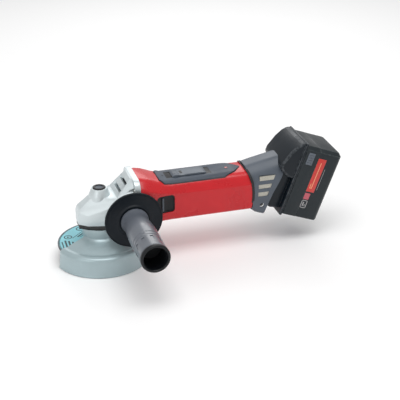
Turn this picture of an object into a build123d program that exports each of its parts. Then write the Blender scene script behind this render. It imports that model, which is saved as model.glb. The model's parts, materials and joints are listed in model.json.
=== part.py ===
from build123d import *
import math
import os

# Cordless angle grinder for 125 mm discs. Millimetres.
# Z is the spindle axis and points up through the lock button. X points from the head to the battery.
# The side handle is on the -Y side. The origin is the centre of the spindle's free end face.

os.makedirs("parts", exist_ok=True)

# Disc, spindle and flanges
DISC_R = 62.5
DISC_T = 2.5
DISC_BORE_R = 11.115
DISC_Z = 7.75
THREAD_R = 7.0
FLANGE_Z = DISC_Z + DISC_T
FLANGE_H = 6.0
SHOULDER_R = 9.0
SEAT_R = 7.5
SEAT_Z = 28.5
BEARING_H = 11.0
JOURNAL_R = 5.0
SPINDLE_TOP = 82.0

# Head casting
PLATE_Z = 39.5
HEAD_Z = 46.0
NECK_R = 24.3
HEAD_FLANGE_X = 44.0
MOTOR_X = 52.0
FRONT_W = 72.0
FRONT_H = 69.0
FRONT_Z = 76.0
FRONT_CORNER = 14.0
CAVITY_R = 20.8
BOSS_TOP = 95.0
RAMP = [(20.5, 85.5), (41.5, 110.3)]
RAMP_TILT = 49.8
HEAD_SLOTS = [(26.6, 92.7), (35.0, 102.7)]
WELL_R = 9.6
WELL_Z = 84.5

# Guard
GUARD_R = 68.5
GUARD_T = 1.8
COLLAR_R = 24.6
COLLAR_TOP = 39.2
SKIRT_Z = -14.0
GUARD_START = 196.0
GUARD_ARC = 180.0

# Bevel gears: both apexes lie where the spindle and motor axes cross
AXIS_Z = 73.0
MODULE = 1.15
CROWN_TEETH = 33
PINION_TEETH = 12
FACE_WIDTH = 6.0
PRESSURE = math.radians(20)
BACKLASH = 0.26

# Motor
ROTOR_R = 18.3
CAN_R = 24.0
SHAFT_R = 4.0

# Grip and tail housings
GRIP_W = 61.0
GRIP_H = 58.0
GRIP_Z = 71.5
GRIP_CORNER = 17.0
GRIP_X = 92.0
WALL = 2.5

# Battery frame: its X is the pack's thickness, its Z is the pack's length and the way it slides off
PACK_X = 264.6
PACK_Z = 33.6
PACK_TILT = 20.5
PACK_L = 108.0
PACK_W = 74.0
PACK_H = 58.0
PACK_SPLIT = 21.0
CELL_R = 9.1
CELL_L = 64.0
CELL_PITCH = 18.4

# Side handle
HANDLE_X = 37.5
HANDLE_Z = 62.0
BOSS_Y = 38.0
HAND_FLANGE_R = 41.7

FIT = 0.3


def rod(radius, start, end):
    """A cylinder from one point to another."""
    first = Vector(*start)
    run = Vector(*end) - first
    return extrude(Plane(origin=first, z_dir=run) * Circle(radius), amount=run.length)


def block(low, high):
    """A box between two corners."""
    size = [high[i] - low[i] for i in range(3)]
    middle = [(high[i] + low[i]) / 2 for i in range(3)]
    return Pos(*middle) * Box(*size)


def turned(points):
    """A body turned about Z from (radius, height) points."""
    return revolve(make_face(Plane.XZ * Polyline(*points, close=True)), axis=Axis.Z)


def turned_on(plane, points):
    """A body turned about a plane's X axis from (along, radius) points."""
    outline = make_face(plane * Polyline(*points, close=True))
    return revolve(outline, axis=Axis(plane.origin, plane.x_dir))


def side_prism(points, half_width):
    """An (x, z) outline extruded equally to both sides of the middle plane."""
    outline = make_face(Plane.XZ * Polyline(*points, close=True))
    return extrude(outline, amount=half_width, both=True)


def plan_prism(points, low, high):
    """An (x, y) outline extruded between two heights."""
    outline = make_face(Plane.XY.offset(low) * Polyline(*points, close=True))
    return extrude(outline, amount=high - low)


def both_sides(points):
    """Closes a plan outline given for +Y by its mirror image."""
    return points + [(x, -y) for x, y in reversed(points)]


def section(x, width, height, corner, middle_z):
    """A rounded rectangle across the X axis."""
    plane = Plane(origin=(x, 0, middle_z), x_dir=(0, 1, 0), z_dir=(1, 0, 0))
    return plane * RectangleRounded(width, height, corner)


def coil(radius, wire_r, pitch, height):
    """A coil spring standing on the XY plane."""
    path = Helix(pitch, height, radius)
    start = Plane(origin=path @ 0, z_dir=path % 0)
    return sweep(start * Circle(wire_r), path=path, is_frenet=True)


def in_pack(shape):
    """Places a shape drawn in the battery's own frame."""
    return Location((PACK_X, 0, PACK_Z), (0, PACK_TILT, 0)) * shape


def mirrored(shape):
    """The same shape on the other side of the middle plane."""
    return mirror(shape, about=Plane.XZ)


def merged(shapes):
    """Fuses a list of shapes into one."""
    whole = shapes[0]
    for shape in shapes[1:]:
        whole = whole + shape
    return whole


def group(shapes):
    """Several separate solids kept in one node."""
    solids = []
    for shape in shapes:
        solids.extend(shape.solids())
    return Compound(children=solids)


# ---------------------------------------------------------------- bevel gears

def tooth_profile(teeth, pitch_angle):
    """Half of a tooth's outline on the back cone, as (across, outward) points from root to tip."""
    virtual_r = MODULE * teeth / 2 / math.cos(pitch_angle)
    base_r = virtual_r * math.cos(PRESSURE)
    half_angle = (math.pi * MODULE / 2 - BACKLASH) / 2 / virtual_r
    involute_pitch = math.tan(PRESSURE) - PRESSURE
    low_r = virtual_r - 1.25 * MODULE
    high_r = virtual_r + 0.85 * MODULE
    steps = 6
    points = []
    for step in range(steps + 1):
        radius = low_r + (high_r - low_r) * step / steps
        angle = half_angle + involute_pitch
        if radius > base_r:
            roll = math.acos(base_r / radius)
            angle = angle - (math.tan(roll) - roll)
        points.append((radius * math.sin(angle), radius * math.cos(angle) - virtual_r))
    return points


def bevel_tooth(teeth, pitch_angle, turn):
    """One straight bevel tooth about +Z, apex at the origin, narrowing upwards to the apex."""
    cone = MODULE * teeth / 2 / math.sin(pitch_angle)
    profile = tooth_profile(teeth, pitch_angle)
    outline = [(-across, out) for across, out in profile]
    outline = outline + [(across, out) for across, out in reversed(profile)]
    faces = []
    for distance in (cone, cone - FACE_WIDTH):
        scale = distance / cone
        radial = distance * math.sin(pitch_angle)
        height = -distance * math.cos(pitch_angle)
        corners = []
        for across, out in outline:
            r = radial + out * scale * math.cos(pitch_angle)
            z = height + out * scale * math.sin(pitch_angle)
            corners.append((r, across * scale, z))
        faces.append(make_face(Polyline(*corners, close=True)))
    return Rot(0, 0, turn) * loft(faces, ruled=True)


def bevel_wheel(teeth, pitch_angle, first_turn, blank):
    """A bevel gear about +Z with its apex at the origin, from its turned blank."""
    whole = [blank]
    for index in range(teeth):
        whole.append(bevel_tooth(teeth, pitch_angle, first_turn + index * 360 / teeth))
    return merged(whole)


def root_point(teeth, pitch_angle, distance):
    """(radius, height) of the root cone at a distance from the apex, slightly above the tooth's foot."""
    cone = MODULE * teeth / 2 / math.sin(pitch_angle)
    drop = -1.15 * MODULE * distance / cone
    radius = distance * math.sin(pitch_angle) + drop * math.cos(pitch_angle)
    height = -distance * math.cos(pitch_angle) + drop * math.sin(pitch_angle)
    return radius, height


CROWN_ANGLE = math.atan2(CROWN_TEETH, PINION_TEETH)
PINION_ANGLE = math.pi / 2 - CROWN_ANGLE
CONE = MODULE * CROWN_TEETH / 2 / math.sin(CROWN_ANGLE)


def crown_gear():
    outer = root_point(CROWN_TEETH, CROWN_ANGLE, CONE)
    inner = root_point(CROWN_TEETH, CROWN_ANGLE, CONE - FACE_WIDTH)
    web = outer[1] - 4.0
    blank = turned([
        (7.2, inner[1] - 0.5),
        (inner[0], inner[1]),
        outer,
        (outer[0], web),
        (12.0, web),
        (11.0, 40.0 - AXIS_Z),
        (7.2, 40.0 - AXIS_Z),
    ])
    return Pos(0, 0, AXIS_Z) * bevel_wheel(CROWN_TEETH, CROWN_ANGLE, 0, blank)


def pinion_gear():
    outer = root_point(PINION_TEETH, PINION_ANGLE, CONE)
    inner = root_point(PINION_TEETH, PINION_ANGLE, CONE - FACE_WIDTH)
    blank = turned([
        (2.5, inner[1]),
        (inner[0], inner[1]),
        outer,
        (5.2, outer[1] - 0.8),
        (5.2, -26.0),
        (2.5, -26.0),
    ])
    wheel = bevel_wheel(PINION_TEETH, PINION_ANGLE, 180 / PINION_TEETH, blank)
    return Pos(0, 0, AXIS_Z) * Rot(0, -90, 0) * wheel


# ---------------------------------------------------------------- spindle and disc

def spindle():
    body = turned([
        (0, 0),
        (THREAD_R, 0),
        (THREAD_R, FLANGE_Z + FLANGE_H),
        (SHOULDER_R, FLANGE_Z + FLANGE_H),
        (SHOULDER_R, SEAT_Z),
        (SEAT_R, SEAT_Z),
        (SEAT_R, 40.0),
        (7.2, 40.0),
        (7.2, 62.5),
        (JOURNAL_R, 62.5),
        (JOURNAL_R, SPINDLE_TOP),
        (0, SPINDLE_TOP),
    ])
    for turn in (0, 90):
        body = body - Rot(0, 0, turn) * block((-6, -1.7, 77.8), (6, 1.7, SPINDLE_TOP + 1))
    return body


def lower_bearing_outer():
    ring = turned([(17.5, SEAT_Z), (17.5, SEAT_Z + BEARING_H), (14.8, SEAT_Z + BEARING_H), (14.8, SEAT_Z)])
    balls = []
    for index in range(9):
        balls.append(Rot(0, 0, index * 40) * Pos(12.5, 0, SEAT_Z + BEARING_H / 2) * Sphere(2.2))
    return group([ring] + balls)


def lower_bearing_inner():
    top = SEAT_Z + BEARING_H
    return turned([(SEAT_R, SEAT_Z), (10.2, SEAT_Z), (10.2, top), (SEAT_R, top)])


def spindle_bush():
    return turned([(JOURNAL_R + 0.05, 75), (8, 75), (8, SPINDLE_TOP), (JOURNAL_R + 0.05, SPINDLE_TOP)])


def inner_flange():
    top = FLANGE_Z + FLANGE_H
    return turned([
        (THREAD_R, DISC_Z + 1),
        (DISC_BORE_R - 0.1, DISC_Z + 1),
        (DISC_BORE_R - 0.1, FLANGE_Z),
        (20, FLANGE_Z),
        (20, FLANGE_Z + 3),
        (18.5, FLANGE_Z + 4),
        (13, FLANGE_Z + 4),
        (12, top),
        (THREAD_R, top),
    ])


def clamp_nut():
    nut = turned([
        (THREAD_R, DISC_Z - 7),
        (12.5, DISC_Z - 7),
        (15.5, DISC_Z - 4),
        (17, DISC_Z - 3.5),
        (17, DISC_Z),
        (THREAD_R, DISC_Z),
    ])
    for side in (-1, 1):
        nut = nut - rod(2.5, (side * 15, 0, DISC_Z - 9), (side * 15, 0, DISC_Z - 0.8))
    return nut


def grinding_disc():
    top = DISC_Z + DISC_T
    return turned([(DISC_BORE_R, DISC_Z), (DISC_R, DISC_Z), (DISC_R, top), (DISC_BORE_R, top)])


def guard():
    """A collar all the way round, and a cone with a skirt over half of the disc."""
    under = 22.2
    outer = COLLAR_R + 1.9
    collar = turned([(COLLAR_R, under), (outer, under), (outer, COLLAR_TOP), (COLLAR_R, COLLAR_TOP)])
    cover_profile = [
        (COLLAR_R + 0.9, under + 2.2),
        (COLLAR_R + 3.5, under + 1.4),
        (38, 20.4),
        (56, 15.2),
        (61, 14.2),
        (64.8, 12.8),
        (66.2, 10.4),
        (66.5, 6),
        (GUARD_R, SKIRT_Z),
        (GUARD_R - GUARD_T, SKIRT_Z),
        (66.5 - GUARD_T, 6),
        (66.2 - GUARD_T, 9.8),
        (60.4, 12.4),
        (55.4, 13.4),
        (37.4, 18.6),
        (COLLAR_R + 3.2, under - 0.4),
        (COLLAR_R + 0.9, under),
    ]
    outline = make_face(Plane.XZ * Polyline(*cover_profile, close=True))
    cover = revolve(outline, axis=Axis.Z, revolution_arc=GUARD_ARC)
    lugs = block((-7, COLLAR_R + 1, 29.5), (7, COLLAR_R + 11, 37.5))
    gap = block((-1.2, COLLAR_R - 2, 26), (1.2, COLLAR_R + 12, 40))
    hole = rod(2.05, (-8, COLLAR_R + 6.5, 33.5), (8, COLLAR_R + 6.5, 33.5))
    return collar + Rot(0, 0, GUARD_START) * cover + lugs - gap - hole


def guard_clamp_bolt():
    """The screw through the collar's two lugs, and its square nut."""
    y = COLLAR_R + 6.5
    screw = rod(2.0, (-8, y, 33.5), (11.5, y, 33.5)) + rod(3.6, (-10.5, y, 33.5), (-7.0, y, 33.5))
    nut = block((7.0, y - 3.5, 30), (10.2, y + 3.5, 37)) - rod(2.0, (6, y, 33.5), (12, y, 33.5))
    return group([screw, nut])


# ---------------------------------------------------------------- gear head

HEAD_PLAN = [(-33.5, 10), (-22, 19.5), (40, 36), (MOTOR_X, 36)]
PLATE_PLAN = [(-32.6, 9.6), (-21.6, 18.8), (22, 30.2), (31.5, 30.2)]
HEAD_SCREWS = [(29.5, 21), (-29.5, 21), (29.5, -21), (-29.5, -21)]
PLATE_SCREWS = [(-26.5, 8), (-26.5, -8), (27, 22), (27, -22)]


def head_outside():
    """The casting's faceted outside, before its cavities."""
    profile = [
        (-33.5, HEAD_Z), (-33.5, 61), (-30.5, 69), (-14, 83), *RAMP, (MOTOR_X, 110.5), (MOTOR_X, 41.5), (38, 41.5), (32.2, HEAD_Z),
    ]
    body = plan_prism(both_sides(HEAD_PLAN), 40, 112) & side_prism(profile, 40)
    low = Vector(-20, 20.2, 62.6)
    along = Vector(60, 16, 21.4)
    inward = Vector(20, -8.0, 23.4)
    slope = Plane(origin=low, x_dir=along, z_dir=along.cross(inward))
    cutter = extrude(slope * Rectangle(400, 400), amount=90)
    if slope.z_dir.Z < 0:
        cutter = extrude(slope * Rectangle(400, 400), amount=-90)
    body = body - cutter - mirrored(cutter)
    plate = extrude(section(HEAD_FLANGE_X, FRONT_W, FRONT_H, FRONT_CORNER, FRONT_Z), amount=8)
    boss = turned([(0, 70), (17, 70), (15.5, 84), (11, BOSS_TOP), (0, BOSS_TOP)])
    return body + plate + boss


def gear_housing():
    body = head_outside()
    for side in (-1, 1):
        body = body + rod(12, (HANDLE_X, side * 26, HANDLE_Z), (HANDLE_X, side * BOSS_Y, HANDLE_Z))
        body = body - rod(4, (HANDLE_X, side * 22, HANDLE_Z), (HANDLE_X, side * (BOSS_Y + 1), HANDLE_Z))
    body = body - turned([(0, 40), (CAVITY_R, 40), (CAVITY_R, 67), (17.5, 70.5), (0, 70.5)])
    body = body - rod(8, (0, 0, 70), (0, 0, SPINDLE_TOP))
    body = body - rod(5.3, (0, 0, 81), (0, 0, WELL_Z))
    body = body - rod(WELL_R, (0, 0, WELL_Z), (0, 0, BOSS_TOP + 1))
    body = body - rod(9.2, (11, 0, AXIS_Z), (43, 0, AXIS_Z))
    body = body - rod(11, (42, 0, AXIS_Z), (MOTOR_X + 1, 0, AXIS_Z))
    body = body - rod(26, (49.5, 0, AXIS_Z), (MOTOR_X + 1, 0, AXIS_Z))
    channel = [(29.5, 87.5), (MOTOR_X + 1, 87.5), (MOTOR_X + 1, 105), (42, 105)]
    body = body - side_prism(channel, 14)
    for x, z in HEAD_SLOTS:
        body = body - Pos(x, 0, z) * Rot(0, -RAMP_TILT, 0) * Box(3.4, 29, 16)
    for y, z in HEAD_SCREWS:
        body = body - rod(4.6, (24, y, AXIS_Z + z + 2), (47, y, AXIS_Z + z + 2))
        body = body - rod(2, (40, y, AXIS_Z + z + 2), (MOTOR_X + 1, y, AXIS_Z + z + 2))
    for x, y in PLATE_SCREWS:
        body = body - rod(2, (x, y, HEAD_Z - 6), (x, y, HEAD_Z + 12))
    return body


def bearing_plate():
    """The black plate that closes the head, with the neck that the guard turns on."""
    plate = plan_prism(both_sides(PLATE_PLAN), PLATE_Z, HEAD_Z)
    neck = turned([(12, 26), (NECK_R, 26), (NECK_R, PLATE_Z + 1), (12, PLATE_Z + 1)])
    body = plate + neck - rod(17.5, (0, 0, SEAT_Z), (0, 0, HEAD_Z + 1))
    for x, y in PLATE_SCREWS:
        body = body - rod(2, (x, y, PLATE_Z - 1), (x, y, HEAD_Z + 1))
        body = body - turned_screw_head(x, y)
    return body


def turned_screw_head(x, y):
    """A countersunk head, flush with the plate's underside."""
    cone = turned([(0, 0), (3.6, 0), (2, 2.2), (0, 2.2)])
    return Pos(x, y, PLATE_Z) * cone


def plate_screws():
    screws = []
    for x, y in PLATE_SCREWS:
        shank = rod(2, (x, y, PLATE_Z + 2.2), (x, y, HEAD_Z + 11))
        recess = Pos(x, y, PLATE_Z + 0.7) * (Box(3.6, 0.8, 1.5) + Box(0.8, 3.6, 1.5))
        screws.append(shank + turned_screw_head(x, y) - recess)
    return group(screws)


def head_screws():
    """Four long screws from the head's flange into the motor housing."""
    screws = []
    for y, dz in HEAD_SCREWS:
        z = AXIS_Z + dz + 2
        head = rod(3.8, (43, y, z), (47, y, z))
        socket = Plane(origin=(42, y, z), z_dir=(1, 0, 0)) * RegularPolygon(2.2, 6)
        screws.append(head + rod(2, (47, y, z), (68, y, z)) - extrude(socket, amount=3))
    return group(screws)


def lock_button():
    cap = turned([
        (0, 93.5), (6.9, 93.5), (7.6, 90), (9.3, 90), (9.3, 95.6), (8.6, 96.5), (0, 96.5),
    ])
    dish = Pos(0, 0, 96.5 + 21.2) * Sphere(22)
    return cap - dish


def lock_pin():
    blade = block((-4.4, -1.35, 82.6), (4.4, 1.35, 87))
    return blade + rod(3, (0, 0, 86.6), (0, 0, 93.5))


def lock_spring():
    return Pos(0, 0, WELL_Z + 0.5) * coil(5.6, 0.45, 2.0, 8.0)


# ---------------------------------------------------------------- motor

def motor_part(points):
    """A body turned about the motor axis from (x, radius) points."""
    plane = Plane(origin=(0, 0, AXIS_Z), x_dir=(1, 0, 0), z_dir=(0, -1, 0))
    return turned_on(plane, points)


def ring_on_motor(x0, x1, inner, outer):
    return motor_part([(x0, inner), (x1, inner), (x1, outer), (x0, outer)])


def front_bearing_outer():
    balls = []
    for index in range(8):
        ball = Rot(index * 45, 0, 0) * Pos(45.5, 0, 7.25) * Sphere(1.15)
        balls.append(Pos(0, 0, AXIS_Z) * ball)
    return group([ring_on_motor(42, 49, 8.5, 11)] + balls)


def armature_shaft():
    return motor_part([
        (14, 0), (14, 2.5), (26, 2.5), (26, SHAFT_R), (162, SHAFT_R), (163, 3), (163, 0),
    ])


def armature_core():
    """Laminated core with twelve winding slots."""
    core = ring_on_motor(84, 126, SHAFT_R, ROTOR_R)
    for index in range(12):
        slot = Rot(index * 30, 0, 0) * block((83, -1.1, 15.5), (127, 1.1, 19))
        root = Rot(index * 30, 0, 0) * rod(2.1, (83, 0, 13.6), (127, 0, 13.6))
        core = core - Pos(0, 0, AXIS_Z) * (slot + root)
    return core


def armature_windings():
    """Copper in the slots, joined by the end turns."""
    front = motor_part([(75, 6.5), (84, 6.5), (84, 16.5), (78, 16.5), (75, 12)])
    back = motor_part([(126, 6.5), (136, 6.5), (136, 10), (132, 16.5), (126, 16.5)])
    whole = front + back
    for index in range(12):
        bar = Rot(index * 30, 0, 0) * rod(2.1, (84, 0, 13.6), (126, 0, 13.6))
        whole = whole + Pos(0, 0, AXIS_Z) * bar
    return whole


def commutator():
    body = ring_on_motor(139, 151, SHAFT_R, 10)
    for index in range(24):
        cut = Rot(index * 15, 0, 0) * block((140.5, -0.25, 9.3), (152, 0.25, 11))
        body = body - Pos(0, 0, AXIS_Z) * cut
    return body


def fan():
    """Blades, back disc and hub of the cooling fan."""
    whole = ring_on_motor(55, 71, SHAFT_R, 8) + ring_on_motor(68.5, 71, 7, 27)
    for index in range(11):
        blade = Rot(index * 360 / 11, 0, 0) * Pos(62.5, 0, 17) * Rot(0, 0, 18) * Box(12.5, 1.6, 19)
        whole = whole + Pos(0, 0, AXIS_Z) * blade
    return whole


def magnets():
    ring = ring_on_motor(82, 130, 19.1, 22)
    cross = block((80, -2, AXIS_Z - 30), (132, 2, AXIS_Z + 30))
    cross = cross + block((80, -30, AXIS_Z - 2), (132, 30, AXIS_Z + 2))
    return group([ring - cross])


def air_baffle():
    """The plate behind the fan that turns the air outwards."""
    plate = extrude(section(72.5, 62.0, 57.0, 12, FRONT_Z - 2), amount=1.8)
    return plate - rod(19, (70, 0, AXIS_Z), (78, 0, AXIS_Z))


def motor_end_plate():
    """Carries the rear bearing and the brush holders."""
    cup = ring_on_motor(152, 162, 9.5, 12)
    disc = ring_on_motor(152, 154.5, 10.5, CAN_R + 3)
    feet = []
    for side in (-1, 1):
        foot = block((138.5, side * 25.2 - 1.6, AXIS_Z - 6), (152, side * 25.2 + 1.6, AXIS_Z + 6))
        feet.append(foot)
    return merged([cup, disc] + feet) - block((151, -4, AXIS_Z + 19), (156, 4, AXIS_Z + 30))


def brush_holders():
    boxes = []
    for side in (-1, 1):
        low = min(side * 11, side * 23.5)
        high = max(side * 11, side * 23.5)
        box = block((141, low, AXIS_Z - 5.5), (150, high, AXIS_Z + 5.5))
        boxes.append(box - block((142.2, -30, AXIS_Z - 4.3), (148.8, 30, AXIS_Z + 4.3)))
    return group(boxes)


def carbon_brushes():
    brushes = []
    for side in (-1, 1):
        low = min(side * 9, side * 18)
        high = max(side * 9, side * 18)
        brush = block((142.3, low, AXIS_Z - 4.2), (148.7, high, AXIS_Z + 4.2))
        brushes.append(brush - rod(10.1, (138, 0, AXIS_Z), (153, 0, AXIS_Z)))
    return group(brushes)


def brush_springs():
    springs = []
    for side in (-1, 1):
        spring = Rot(-90 * side, 0, 0) * coil(2.2, 0.3, 1.2, 4.8)
        springs.append(Pos(145.5, side * 18.35, AXIS_Z) * spring)
    return group(springs)


# ---------------------------------------------------------------- motor housing and its trim

def grip_solid(grow, x_end):
    """The red housing's outside, grown or shrunk by a margin."""
    grip_w = GRIP_W + 2 * grow
    grip_h = GRIP_H + 2 * grow
    sections = [
        section(MOTOR_X, FRONT_W + 2 * grow, FRONT_H + 2 * grow, FRONT_CORNER + grow, FRONT_Z),
        section(70, FRONT_W - 2 + 2 * grow, FRONT_H - 4 + 2 * grow, FRONT_CORNER + grow, FRONT_Z - 1.2),
        section(83, GRIP_W + 3.5 + 2 * grow, GRIP_H + 2.5 + 2 * grow, 15.5 + grow, GRIP_Z + 0.9),
        section(GRIP_X, grip_w, grip_h, GRIP_CORNER + grow, GRIP_Z),
        section(x_end, grip_w, grip_h, GRIP_CORNER + grow, GRIP_Z),
    ]
    parts = []
    for first, second in zip(sections, sections[1:]):
        parts.append(loft([first, second], ruled=True))
    return merged(parts)


def parting_slab(start, thickness):
    """The slab between two curved parting faces that bulge towards the battery."""
    low_z = AXIS_Z - 34
    high_z = AXIS_Z + 34
    first = [(210 + start, high_z), (218.5 + start, AXIS_Z + 2), (215 + start, low_z)]
    second = [(x + thickness, z) for x, z in first]
    outline = Plane.XZ * (
        ThreePointArc(*first)
        + Line(first[2], second[2])
        + ThreePointArc(*reversed(second))
        + Line(second[0], first[0])
    )
    return extrude(make_face(outline), amount=50, both=True)


PANEL_DEPTH = 1.8


def panel_window(margin):
    """The top panel's outline, grown by a margin, as a tall prism over the grip's top."""
    plan = [(84 - margin, 16), (90 - margin / 2, 22.5 + margin)]
    plan = plan + [(179 + margin / 2, 22.5 + margin), (196 + margin, 14), (207 + margin, 2)]
    return plan_prism(both_sides(plan), AXIS_Z + 8, AXIS_Z + 40)


def motor_housing():
    outside = grip_solid(0, 226)
    inside = grip_solid(-WALL, 227)
    body = outside - inside - parting_slab(0, 60)
    skin = grip_solid(3, 226) - grip_solid(-PANEL_DEPTH, 226)
    floor = extrude(section(81, 47.5, 3.0, 1, AXIS_Z + 25.8), amount=127) & grip_solid(-0.5, 227)
    body = body + floor
    body = body - (skin & panel_window(0.35))
    body = body - block((98, -8.5, AXIS_Z + 20), (158, 8.5, AXIS_Z + 34))
    body = body - side_pocket(0.0) - mirrored(side_pocket(0.0))
    lugs = []
    for y, dz in HEAD_SCREWS:
        z = AXIS_Z + dz + 2
        lugs.append(rod(4.6, (MOTOR_X, y, z), (69, y, z)) & grip_solid(-0.2, 226))
    body = merged([body] + lugs)
    for y, dz in HEAD_SCREWS:
        z = AXIS_Z + dz + 2
        body = body - rod(2, (MOTOR_X - 1, y, z), (68, y, z))
    body = body - rod(27.6, (MOTOR_X - 1, 0, AXIS_Z), (72, 0, AXIS_Z))
    body = body - motor_part([(137, 0), (165, 0), (165, CAN_R + 3.2), (137, CAN_R + 3.2)])
    return body


def side_pocket(margin):
    """The opening for the side vent insert, on the -Y side."""
    plane = Plane(origin=(89, -40, AXIS_Z - 3), x_dir=(1, 0, 0), z_dir=(0, 1, 0))
    return extrude(plane * RectangleRounded(27 - margin, 27 - margin, 5), amount=14)


def side_vent():
    """A black insert with a rib, seated in the housing's side opening."""
    slab = side_pocket(0.3) & (grip_solid(-0.6, 226) - grip_solid(-WALL, 226))
    cut = Plane(origin=(93.8, -40, AXIS_Z - 3), x_dir=(1, 0, 0), z_dir=(0, 1, 0))
    dish = extrude(cut * RectangleRounded(14.5, 22.5, 3.5), amount=40) & (
        grip_solid(1, 226) - grip_solid(-1.9, 226))
    other = Plane(origin=(80.6, -40, AXIS_Z - 3), x_dir=(1, 0, 0), z_dir=(0, 1, 0))
    dish = dish + (extrude(other * RectangleRounded(7.5, 22.5, 3), amount=40) & (
        grip_solid(1, 226) - grip_solid(-1.9, 226)))
    return slab - dish


def top_panel():
    """Soft panel let into the top of the grip, with the track for the switch."""
    skin = grip_solid(0.6, 226) - grip_solid(-PANEL_DEPTH, 226)
    body = skin & panel_window(0.0)
    body = body - block((96, -11.0, AXIS_Z + 20), (163, 11.0, AXIS_Z + 40))
    return body - rod(2.5, (188, 0, AXIS_Z + 20), (188, 0, AXIS_Z + 40))


def switch_slider():
    """The thumb slide, resting back in its track."""
    profile = [
        (105, 101.6), (107, 104.0), (112, 104.4), (118, 103.1), (124, 103.8), (150, 103.6),
        (155, 102.6), (156, 100.8), (105, 100.8),
    ]
    pad = side_prism(profile, 10.5)
    neck = block((108, -7.8, 97.6), (150, 7.8, 100.9))
    return pad + neck


def switch_rod():
    bar = block((146, -3, 94.0), (180, 3, 96.4)) + block((177, -3, 88), (180, 3, 96.4))
    return bar + block((146, -3, 94.0), (150, 3, 97.6))


def switch_module():
    body = block((182, -11, 79), (205, 11, 96.8))
    return body + rod(2, (180, 0, 90), (182, 0, 90))


def led_lens():
    top = GRIP_Z + GRIP_H / 2
    return rod(2.5, (188, 0, top - PANEL_DEPTH), (188, 0, top + 1.0))


def electronics_module():
    board = block((166, -22, 52), (206, 22, 54))
    body = board + block((170, -18, 54), (202, 18, 68))
    for index in range(7):
        body = body - block((172 + index * 4, -19, 60), (173.6 + index * 4, 19, 69))
    return body


def sealing_ring():
    shell = grip_solid(0.9, 230) - grip_solid(-WALL, 231)
    return shell & parting_slab(0.0, 3.6)


# ---------------------------------------------------------------- tail housing and battery foot

def tail_outline(inset):
    """The tail's side profile. Its back edge runs parallel to the battery."""
    tilt = math.radians(PACK_TILT)

    def pack_point(x, z):
        return (
            PACK_X + x * math.cos(tilt) + z * math.sin(tilt),
            PACK_Z - x * math.sin(tilt) + z * math.cos(tilt),
        )

    back_high = pack_point(-15.5, 74)
    back_mid = pack_point(-11.5, 64)
    back_step = pack_point(-18, 59)
    back_low = pack_point(-19, -14)
    return [
        (200, AXIS_Z + 30.0 - inset),
        (213, AXIS_Z + 31.0 - inset),
        (262, 114.5 - inset),
        back_high,
        back_mid,
        back_step,
        (back_low[0], back_low[1] + inset),
        (228, 33.5 + inset),
        (216, AXIS_Z - 31.0 + inset),
        (200, AXIS_Z - 31.0 + inset),
    ]


def tail_solid(inset):
    body = side_prism(tail_outline(inset), 31.2 - inset)
    long_edges = body.edges().filter_by(lambda edge: abs(edge.tangent_at(0.5).Y) < 0.01)
    upper = long_edges.filter_by(lambda edge: edge.center().Z > 100 and edge.center().X < 262)
    lower = long_edges.filter_by(lambda edge: edge.center().Z < 46 and edge.center().X < 240)
    body = fillet(upper, 14 - inset)
    lower = [
        edge for edge in body.edges()
        if abs(edge.tangent_at(0.5).Y) < 0.01 and edge.center().Z < 46 and edge.center().X < 242
    ]
    return fillet(lower, 12 - inset)


def tail_shell():
    """The tail's whole shell, before it is split down the middle."""
    shell = tail_solid(0) - tail_solid(WALL) - parting_slab(-60, 63.6)
    return shell - filter_openings(0.0)


FILTER_ROWS = [(230, 254, 90.0), (228.5, 249.5, 77.5), (228, 245, 65.5)]


def filter_openings(margin):
    """Three slanted slots through each side of the tail."""
    slots = []
    for start, end, z in FILTER_ROWS:
        points = [
            (start + margin, z - 3.4 + margin), (end - 2.5 - margin, z - 3.4 + margin),
            (end - margin, z + 3.4 - margin), (start + margin, z + 3.4 - margin),
        ]
        slots.append(side_prism(points, 40))
    return merged(slots)


def dust_filters():
    """Mesh screens behind the slots, three on each side."""
    skin = tail_solid(0.9) - tail_solid(WALL)
    return group([skin & filter_openings(0.15)])


def half(shape, side):
    """Keeps one side of the middle plane."""
    low = (150, 0, -60) if side > 0 else (150, -80, -60)
    high = (420, 80, 200) if side > 0 else (420, 0, 200)
    return shape & block(low, high)


# Each screw as (x, z, the side its head is on)
TAIL_SCREWS = [(234, 48, -1), (225, 98, 1), (262, 98, 1)]


def tail_cover(side):
    """One half of the tail, with its screw posts."""
    shell = half(tail_shell(), side)
    posts = []
    for x, z, _ in TAIL_SCREWS:
        posts.append(rod(4.2, (x, 0, z), (x, side * 40, z)) & half(tail_solid(0.2), side))
    body = merged([shell] + posts)
    for x, z, head_side in TAIL_SCREWS:
        body = body - rod(1.75, (x, side * -1, z), (x, side * 22, z))
        if side == head_side:
            body = body - rod(1.75, (x, side * 20, z), (x, side * 40, z))
            body = body - rod(3.3, (x, side * 24, z), (x, side * 40, z))
    return body


def tail_screws():
    screws = []
    for x, z, side in TAIL_SCREWS:
        shank = rod(1.75, (x, side * 24, z), (x, side * -16, z))
        head = rod(3.2, (x, side * 26.5, z), (x, side * 24, z))
        recess = Pos(x, side * 26, z) * (Box(3.6, 1.5, 0.9) + Box(0.9, 1.5, 3.6))
        screws.append(shank + head - recess)
    return group(screws)


FOOT_FACE = -FIT
FOOT_ROUND = 6.0


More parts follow.
